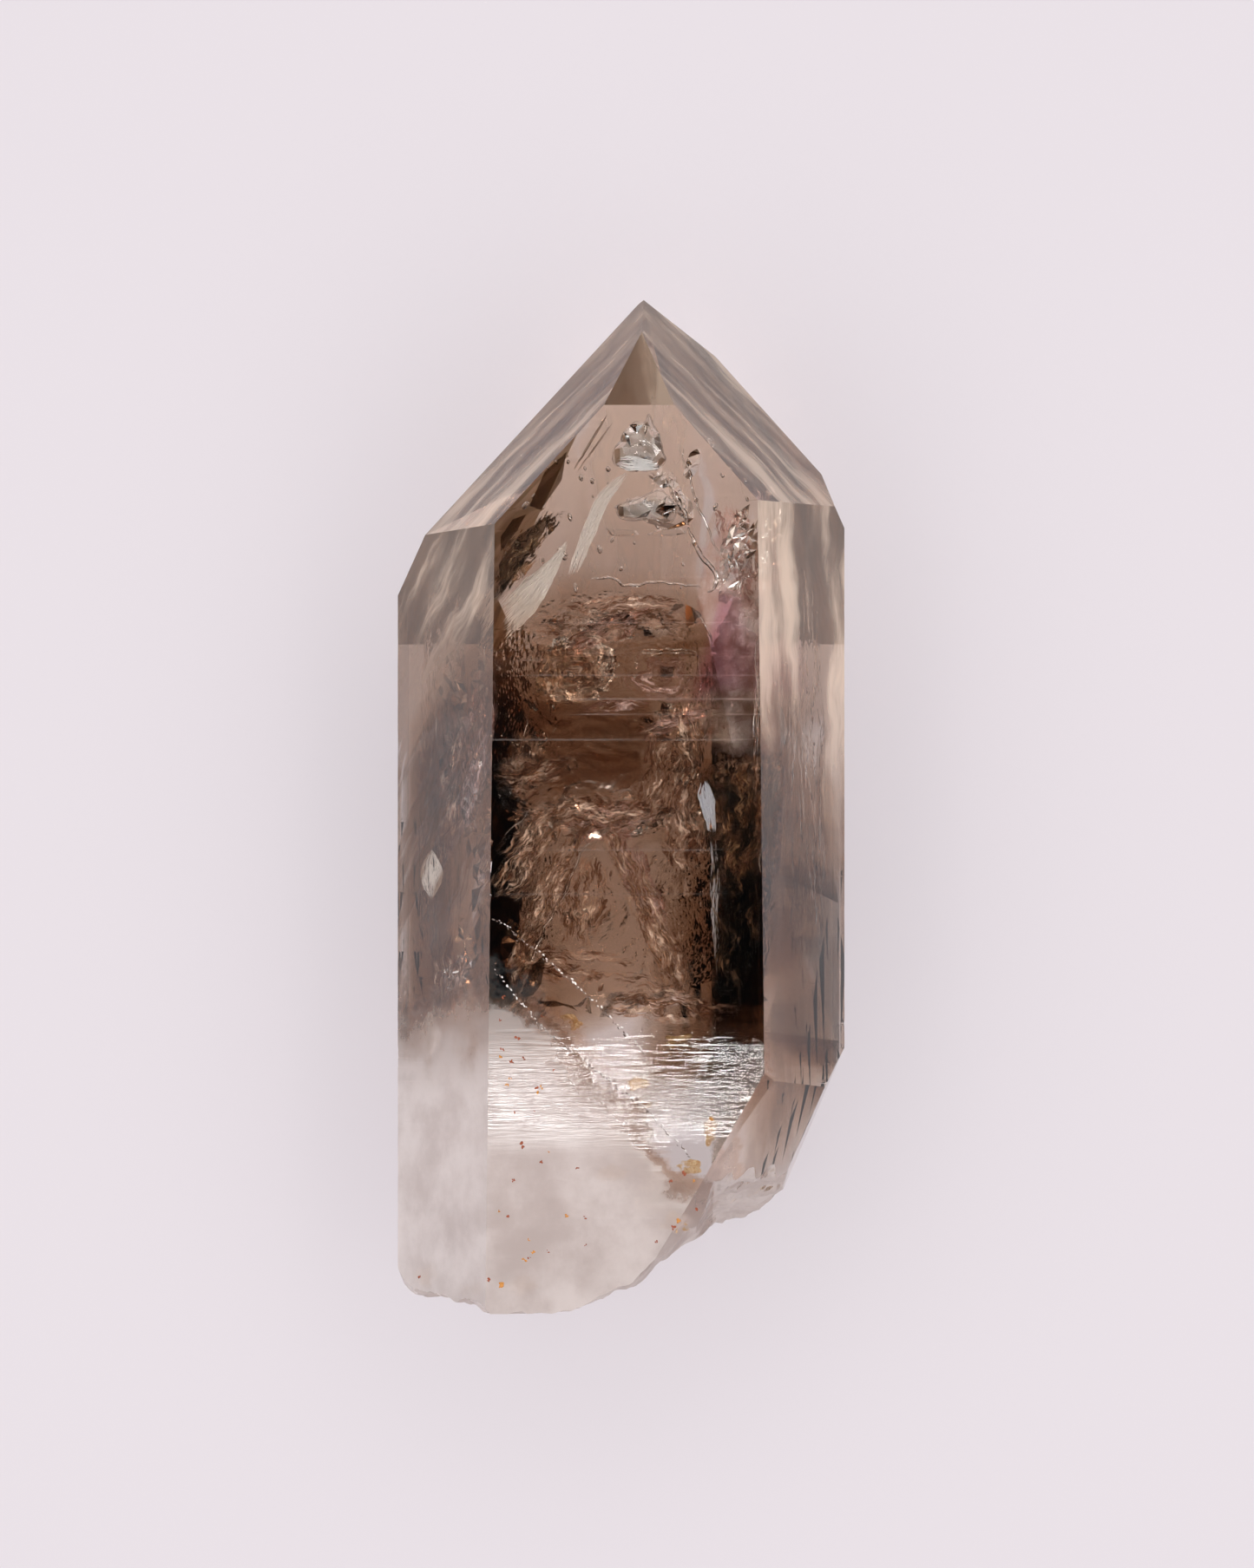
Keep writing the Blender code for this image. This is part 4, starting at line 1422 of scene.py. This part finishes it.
# points and radius
CHANNELS = (
    (
        ((-1.8, 13.4, 20.0), (-0.6, 13.35, 20.0), (0.5, 13.0, 20.0), (2.6, 13.2, 20.0), (4.8, 12.9, 20.0)),
        0.10
    ),
    (((4.0, 16.6, 20.1), (4.3, 15.7, 20.1), (4.9, 14.6, 20.1), (5.6, 13.3, 20.0), (5.2, 12.5, 20.0)), 0.17),
    (((3.0, 18.7, 20.2), (3.5, 17.8, 20.2), (4.0, 16.6, 20.1)), 0.15),
    (((3.6, 21.1, 20.8), (4.0, 19.6, 20.7), (4.6, 17.6, 20.6), (5.9, 14.6, 20.4), (6.9, 12.6, 20.2)), 0.07),
    (((-2.8, 13.7, 20.0), (-2.6, 14.9, 20.0), (-1.9, 16.6, 20.1)), 0.08),
    (
        (
            (0.8, 7.9, 18.4), (1.2, 9.0, 18.4), (2.6, 9.2, 18.4), (4.2, 9.0, 18.4), (4.7, 7.6, 18.4),
            (4.3, 6.5, 18.4), (2.4, 6.5, 18.4)
        ),
        0.09
    ),
    (((4.3, 11.6, 19.4), (5.0, 10.6, 19.4), (5.4, 9.2, 19.4)), 0.07),
    (((-6.0, 3.5, 18.8), (-5.2, 6.2, 18.8)), 0.06),
    (((-4.2, 3.6, 18.8), (-3.4, 5.6, 18.8)), 0.06),
    (((-1.7, -1.4, 18.5), (-3.2, -4.8, 18.2), (-4.9, -8.2, 18.0), (-6.1, -11.3, 17.8)), 0.11),
    (((-0.6, -1.8, 18.5), (0.8, -4.9, 18.2), (2.2, -8.0, 18.0), (3.6, -11.0, 17.8)), 0.11),
    (((-7.1, -2.0, 19.0), (-5.0, 0.2, 19.0)), 0.07),
    (((-6.8, -4.0, 19.0), (-4.6, -1.2, 19.0)), 0.07),
    (((7.9, 14.8, 19.6), (8.0, 13.8, 19.5), (7.1, 13.4, 19.5), (6.9, 12.4, 19.5)), 0.09),
)
for seed, (points, radius) in enumerate(CHANNELS):
    tube(lines, points, radius, wobble=0.22, seed=seed)
turn_inside_out(lines)
new_object("fine_channels", lines, gas)
print("channels:", len(CHANNELS))

# %% [markdown]
# ## Drops and needles
#
# Round the hollows lie single drops, longer than they are wide, and two needles. Much smaller drops are
# scattered through the whole stone, where they lie well inside its faces.

# %% Drops and needles
DROPS_NEAR_POINT = 46
DROPS_EVERYWHERE = 160
WELL_INSIDE = 0.4
small = bmesh.new()
needle(small, (-0.8, 23.1, 20.2), (-2.8, 19.8, 19.8), 0.07)
needle(small, (-0.5, 22.6, 20.0), (-2.6, 19.7, 19.7), 0.05)
chance = random.Random(12)
for _ in range(DROPS_NEAR_POINT):
    x, y = chance.uniform(-6.2, 7.8), chance.uniform(12.5, 21.0)
    size = chance.uniform(0.05, 0.16)
    drop(
        small, (x, y, chance.uniform(17, 20)), (size, size * chance.uniform(1.0, 2.4), size),
        chance.uniform(-0.8, 0.8)
    )
for _ in range(DROPS_EVERYWHERE):
    x, y, z = chance.uniform(-11, 11), chance.uniform(-18, 14), chance.uniform(12, 20)
    inside = all((Vector((x, y, z)) - point).dot(normal) < -WELL_INSIDE for point, normal in PRISM.values())
    size = chance.uniform(0.03, 0.09)
    if inside:
        drop(small, (x, y, z), (size, size, size), 0, 1)
print("drops and needles:", len(small.faces), "faces")
new_object("drops_and_needles", small, gas)

# %% [markdown]
# ## Dark and brown panes
#
# Some flat growth planes turn the eye to the darkest smoke beside them, and look nearly black: on the left
# under the point, beside the hollows, and in the fracture near the base. That black is a painted dark
# reflection: flat slabs with a strong absorption. Softer brown ones in the middle give the smoke its patches.

# %% Dark panes
dark = bmesh.new()
PANE_THICKNESS = 1.0
# corners of each pane's upper side
DARK_REFLECTION_PANES = (
    ((-3.2, 20.9, 21.0), (-3.5, 19.2, 21.0), (-4.7, 17.5, 20.8), (-5.4, 17.7, 20.8), (-4.5, 19.7, 21.0)),
    ((-4.0, 17.3, 20.4), (-5.0, 15.4, 20.4), (-7.1, 12.4, 20.0), (-7.2, 14.3, 20.0), (-6.0, 16.0, 20.2)),
    ((-5.6, 17.2, 20.2), (-6.1, 16.3, 20.2), (-7.1, 15.0, 20.0), (-7.1, 15.9, 20.0), (-6.4, 16.9, 20.2)),
    ((0.6, 22.3, 20.8), (0.85, 22.5, 20.8), (0.95, 22.2, 20.8), (0.75, 22.1, 20.8)),
    ((1.03, 22.35, 20.8), (1.6, 22.65, 20.8), (1.5, 22.35, 20.8), (1.1, 22.25, 20.8)),
    ((2.3, 17.2, 19.9), (2.7, 18.2, 19.9), (3.0, 17.8, 19.9), (3.2, 17.3, 19.9), (2.8, 16.9, 19.9)),
    ((-6.0, -11.3, 20.6), (-5.2, -9.4, 20.6), (-4.4, -8.7, 20.6), (-4.7, -10.5, 20.6), (-5.2, -11.2, 20.6)),
    (
        (-4.8, -11.6, 21.2), (-4.2, -11.9, 21.2), (-3.4, -11.8, 21.2), (-2.6, -12.1, 21.2),
        (-2.9, -11.8, 21.2), (-4.0, -11.5, 21.2)
    ),
    ((2.3, 8.2, 19.0), (3.2, 8.2, 19.0), (3.0, 7.7, 19.0), (2.5, 7.6, 19.0)),
)
# Painted dark reflection: strongly absorbing slabs stand in for the dark smoke that these planes mirror.
for outline in DARK_REFLECTION_PANES:
    pane(dark, outline, PANE_THICKNESS)
new_object("dark_reflection_panes", dark, zone_material("painted_dark_reflection", (0.45, 0.36, 0.25, 1), 2600.0))

brown = bmesh.new()
BROWN_PANES = (
    ((-7.3, 7.8, 18.4), (-4.7, 8.1, 18.4), (-4.0, 5.2, 18.2), (-5.4, 4.2, 18.2), (-7.3, 4.4, 18.2)),
    ((-6.4, 6.3, 17.2), (-2.4, 6.4, 17.2), (-2.0, 4.3, 17.0), (-5.9, 4.0, 17.0)),
    ((-2.2, 5.9, 17.6), (1.6, 6.0, 17.6), (2.2, 4.9, 17.6), (1.2, 4.2, 17.6), (-2.4, 4.3, 17.6)),
    ((-5.2, 2.9, 18.2), (0.9, 3.3, 18.2), (1.6, 1.5, 18.0), (-0.4, 0.9, 18.0), (-4.4, 1.2, 18.0)),
    ((-4.9, 9.6, 18.8), (-2.4, 9.3, 18.8), (-1.4, 8.1, 18.8), (-2.0, 7.3, 18.8), (-4.2, 7.2, 18.8)),
    ((-7.4, -7.4, 18.0), (-6.2, -7.0, 18.0), (-5.0, -9.6, 18.0), (-6.6, -11.6, 18.0), (-7.5, -11.0, 18.0)),
    ((1.9, 9.6, 18.2), (4.5, 9.8, 18.2), (4.7, 8.9, 18.2), (2.2, 8.6, 18.2)),
)
for outline in BROWN_PANES:
    pane(brown, outline, PANE_THICKNESS)
new_object("brown_panes", brown, zone_material("brown_smoke", SMOKE_COLOUR, 650.0))
print("dark panes:", len(DARK_REFLECTION_PANES), "and brown ones:", len(BROWN_PANES))

# %% [markdown]
# ## Water with a moving bubble
#
# The hollow that gives the crystal its name is a flat-faced chamber of water. A gas bubble floats in it,
# and it would move if the crystal were turned. Water bends light much less than gas does, so the chamber is
# faint and its bubble is what catches the eye.

# %% Enhydro chamber
chamber = bmesh.new()
CHAMBER = Vector((2.6, 17.6, 17.6))
faceted_hollow(chamber, CHAMBER, (1.9, 1.3, 0.9), 21)
new_object("water_chamber", chamber, water)
floating = bmesh.new()
drop(floating, CHAMBER + Vector((0.1, 0.2, 0.25)), (0.42, 0.34, 0.28), detail=3)
new_object("floating_bubble", floating, bubble)

# %% [markdown]
# ## Iron
#
# Iron from the ground left rust on the milky base: small dark red and orange specks on the faces. A speck
# is three lumps half sunk in the face, each with its own size, lean and shape. Painted dots would have no
# height and would look printed.

# %% Rust specks
def on_top_face(x, y, z):
    """The place on the upper prism face, or on the left side face beside it, over x and y."""
    return Vector((x, y, min(top_height(y), under_left(x, y, 0).z) + z))


def dull_material(name, colour):
    """A dull solid colour."""
    return plain_material(name, Base_Color=colour, Roughness=0.7, Specular_IOR_Level=0.3)


# place from above and size
SPECKS = (
    (-6.9, -11.3, 1.0), (-7.2, -12.7, 1.2), (-6.1, -13.7, 1.6), (-7.0, -14.4, 1.0), (-7.1, -14.8, 1.2),
    (-6.4, -15.1, 1.5), (-5.7, -14.9, 1.0), (-4.0, -15.6, 0.8), (-6.5, -16.1, 1.0), (-6.7, -16.5, 1.5),
    (-5.0, -16.6, 1.2), (-4.7, -16.6, 1.2), (-4.9, -16.9, 1.0), (-6.2, -18.1, 1.0), (-5.1, -18.0, 0.8),
    (-5.9, -20.0, 1.9), (-4.3, -20.4, 0.8), (-4.7, -21.0, 1.3), (-6.3, -22.1, 1.2), (-2.6, -21.3, 1.2),
    (2.9, -22.2, 1.2), (3.7, -21.7, 1.6), (4.3, -22.1, 1.0), (-7.2, -23.9, 0.9), (-6.7, -24.3, 1.3),
    (-3.2, -24.2, 1.0), (-2.1, -24.3, 0.9), (4.4, -23.8, 1.2), (3.4, -24.5, 1.5), (3.1, -24.9, 1.3),
    (2.1, -25.7, 0.8), (-5.4, -25.6, 0.7), (-5.2, -26.3, 1.3), (-4.3, -26.3, 0.9), (-2.1, -25.9, 0.9),
    (-5.7, -26.8, 1.2), (-5.4, -26.7, 0.9), (-7.7, -28.0, 1.6), (-7.1, -28.2, 2.4), (5.3, -18.5, 1.2),
    (-4.6, -12.4, 1.0), (-12.0, -28.0, 1.4),
)
LUMPS_IN_SPECK = 3
LUMP_RADIUS = 0.075
SUNK = 0.25
chance = random.Random(30)
red, orange = bmesh.new(), bmesh.new()
for x, y, size in SPECKS:
    shape = orange if chance.random() < 0.3 or size > 2 else red
    for _ in range(LUMPS_IN_SPECK):
        radius = LUMP_RADIUS * size * chance.uniform(0.7, 1.2)
        place = on_top_face(
            x + chance.uniform(-0.09, 0.09) * size, y + chance.uniform(-0.07, 0.07) * size, -SUNK * radius
        )
        drop(
            shape, place, (radius, radius * chance.uniform(0.4, 0.8), radius * 0.5), chance.uniform(0, 3.1),
            2
        )
for shape in (red, orange):
    bmesh.ops.reverse_faces(shape, faces=shape.faces)
    for vertex in shape.verts:
        vertex.co += 0.03 * noise.noise_vector(vertex.co * 9)
new_object("rust_specks", red, dull_material("rust", (0.33, 0.075, 0.03, 1)))
new_object("orange_specks", orange, dull_material("orange_rust", (0.60, 0.25, 0.05, 1)))
print("specks:", len(SPECKS))

# %% [markdown]
# ## Ochre stains
#
# Wider ochre stains lie just under the faces. They're thin films, like the veils, with a material that is
# soft and half-clear.

# %% Ochre stains
UNDER_FACE = -0.12
# place from above, half width and half length
STAINS = (
    (1.1, -17.65, 0.9, 0.35), (1.0, -16.4, 0.7, 0.4), (3.5, -13.9, 0.8, 0.5), (-3.1, -12.6, 0.5, 0.4),
    (-2.6, -13.0, 0.5, 0.4), (5.2, -19.2, 0.4, 0.9), (-5.9, -28.3, 1.1, 0.6), (4.1, -21.3, 0.8, 0.5),
    (-11.6, -27.8, 0.7, 0.8), (-8.8, -28.6, 0.7, 0.4), (-0.5, -21.8, 1.0, 0.5), (3.2, -24.6, 0.9, 0.7),
)
stains = bmesh.new()
for seed, (x, y, wide, high) in enumerate(STAINS, 120):
    middle = on_top_face(x, y, UNDER_FACE)
    across = on_top_face(x + 0.5, y, UNDER_FACE) - on_top_face(x - 0.5, y, UNDER_FACE)
    film(
        stains, middle, across * wide, Vector((0, high, 0)), 0.05, 0.05, (0.9, 0.9), seed, ragged=0.6,
        rings=8, spokes=36
    )
bmesh.ops.reverse_faces(stains, faces=stains.faces)
new_object(
    "ochre_stains", stains, soft_veil("ochre", (0.66, 0.42, 0.20, 1), (0.93, 0.76, 0.50, 1), 0.28, 700.0),
)
print("stains:", len(STAINS))

# %% [markdown]
# ## Traces of two late cracks
#
# Two late cracks come up through the upper face in a slanting line. Seen closely each is a row of small
# dark and white beads, so that is how it is built: the dark beads are painted shadow and the white ones
# painted glints. Each bead takes the line's direction, give or take a little.

# %% Traces of two late cracks
# corners of each line from above
TRACES = (
    ((-7.4, -6.7), (-4.5, -9.0), (-1.6, -11.6), (0.6, -13.8), (1.6, -14.9)),
    ((-7.4, -9.8), (-4.6, -13.2), (-1.5, -15.6), (1.4, -17.9), (3.0, -19.6), (4.2, -20.8)),
)
BEAD_STEP = 0.13
BEAD_WANDER = 0.05
GLINT_SHARE = 0.45
shadow_beads, glint_beads = bmesh.new(), bmesh.new()
for trace in TRACES:
    for (x0, y0), (x1, y1) in zip(trace, trace[1:]):
        steps = round(math.hypot(x1 - x0, y1 - y0) / BEAD_STEP)
        for step in range(steps):
            share = (step + chance.uniform(-0.3, 0.3)) / steps
            x = x0 + (x1 - x0) * share + chance.gauss(0, BEAD_WANDER)
            y = y0 + (y1 - y0) * share + chance.gauss(0, BEAD_WANDER)
            lean = math.atan2(y1 - y0, x1 - x0) + chance.gauss(0, 0.3)
            white = chance.random() < GLINT_SHARE
            size = chance.uniform(0.02, 0.055)
            shape = glint_beads if white else shadow_beads
            drop(
                shape, on_top_face(x, y + 0.08 * white, -0.5 * size), (size * 2.2, size, size * 0.7), lean,
                1
            )
for shape in (shadow_beads, glint_beads):
    bmesh.ops.reverse_faces(shape, faces=shape.faces)
# Painted shadow and painted glints: dull dark and white beads stand in for the shade and sparkle of the
# cracks.
new_object("shadow_beads", shadow_beads, dull_material("crack_shadow", (0.20, 0.15, 0.13, 1)))
new_object("glint_beads", glint_beads, dull_material("crack_glint", (0.92, 0.88, 0.86, 1)))
print("traces:", len(TRACES))

# %% [markdown]
# ## Floor
#
# The crystal lies on a plain pale floor. It glows a little of its own, so that its tone stays even right up
# to the stone, as it does on a photographer's lit table.

# %% Floor
FLOOR_GAP = 0.2
FLOOR_REACH = 3000.0
sheet = bmesh.new()
below = Matrix.Translation((0, 0, -FLOOR_GAP))
bmesh.ops.create_grid(sheet, x_segments=1, y_segments=1, size=FLOOR_REACH, matrix=below)
floor = plain_object("floor", sheet)
paper = plain_material("pale_floor", Base_Color=(0.33, 0.305, 0.32, 1), Roughness=0.9,
                       Specular_IOR_Level=0.0, Emission_Color=(0.823, 0.761, 0.807, 1),
                       Emission_Strength=0.54)
floor.data.materials.append(paper)

# %% [markdown]
# ## Light
#
# The light is a soft sky, brightest in a ring round the zenith and dark straight up, where a camera and its
# stand would be. The upper face mirrors that dark patch and lets the eye look in. One large soft lamp
# beyond the base makes the band of ledges glitter.

# %% Light
world = bpy.data.worlds.new("soft_light")
bpy.context.scene.world = world
world.use_nodes = True
sky = world.node_tree.nodes["Background"]
direction = add_node(world.node_tree, "ShaderNodeTexCoord").outputs["Generated"]
# height of the direction, from 0 level to 1 straight up, and brightness
SKY = ((0.0, 0.15), (0.50, 0.2), (0.62, 1.2), (0.76, 2.2), (0.90, 2.3), (0.955, 0.5), (0.978, 0.03))
sky_ramp = world.node_tree.nodes.new("ShaderNodeValToRGB")
stops = sky_ramp.color_ramp.elements
while len(stops) < len(SKY):
    stops.new(0.5)
for stop, (height, brightness) in zip(stops, SKY):
    stop.position = height
    stop.color = (brightness, brightness, brightness, 1)
feed(world.node_tree, sky_ramp.inputs["Fac"], parts_of(world.node_tree, direction)["Z"])
feed(world.node_tree, sky.inputs["Color"], sky_ramp.outputs["Color"])

lamp_data = bpy.data.lights.new("soft_lamp", "AREA")
lamp_data.shape = "RECTANGLE"
lamp_data.size = 0.30
lamp_data.size_y = 0.20
lamp_data.energy = 8.5
lamp = bpy.data.objects.new("soft_lamp", lamp_data)
lamp.visible_diffuse = False
bpy.context.scene.collection.objects.link(lamp)
LAMP_TILT = math.radians(28)
LAMP_FAR = 0.55
lamp.location = (0.0, -LAMP_FAR * math.sin(LAMP_TILT), LAMP_FAR * math.cos(LAMP_TILT))
lamp.rotation_euler = (-LAMP_TILT, 0, 0)

# %% [markdown]
# ## Camera
#
# The camera looks straight down from far off, as the photograph does. Its lens follows from the height of
# the picture at the level of the crystal's side edges.

# %% Camera
CAMERA_HEIGHT = 0.9
FRAME_HEIGHT = 0.0934
EDGE_LEVEL = 0.013
SENSOR = 36.0
camera_data = bpy.data.cameras.new("camera")
camera_data.sensor_width = SENSOR
camera_data.lens = SENSOR * (CAMERA_HEIGHT - EDGE_LEVEL) / FRAME_HEIGHT
camera = bpy.data.objects.new("camera", camera_data)
camera.location = (0.00036, 0.00127, CAMERA_HEIGHT)
bpy.context.scene.collection.objects.link(camera)
bpy.context.scene.camera = camera

# %% [markdown]
# ## Light paths and colour
#
# Light crosses dozens of surfaces on its way through the hollows, so it needs many bounces. With fewer, the
# middle of the stone would turn black. The colours are shown plainly, with no film look.

# %% Light paths and colour
scene = bpy.context.scene
scene.view_settings.view_transform = "Standard"
scene.cycles.max_bounces = 48
scene.cycles.transmission_bounces = 48
scene.cycles.transparent_max_bounces = 48
scene.cycles.glossy_bounces = 24
scene.cycles.diffuse_bounces = 3
scene.cycles.caustics_reflective = True
scene.cycles.caustics_refractive = True
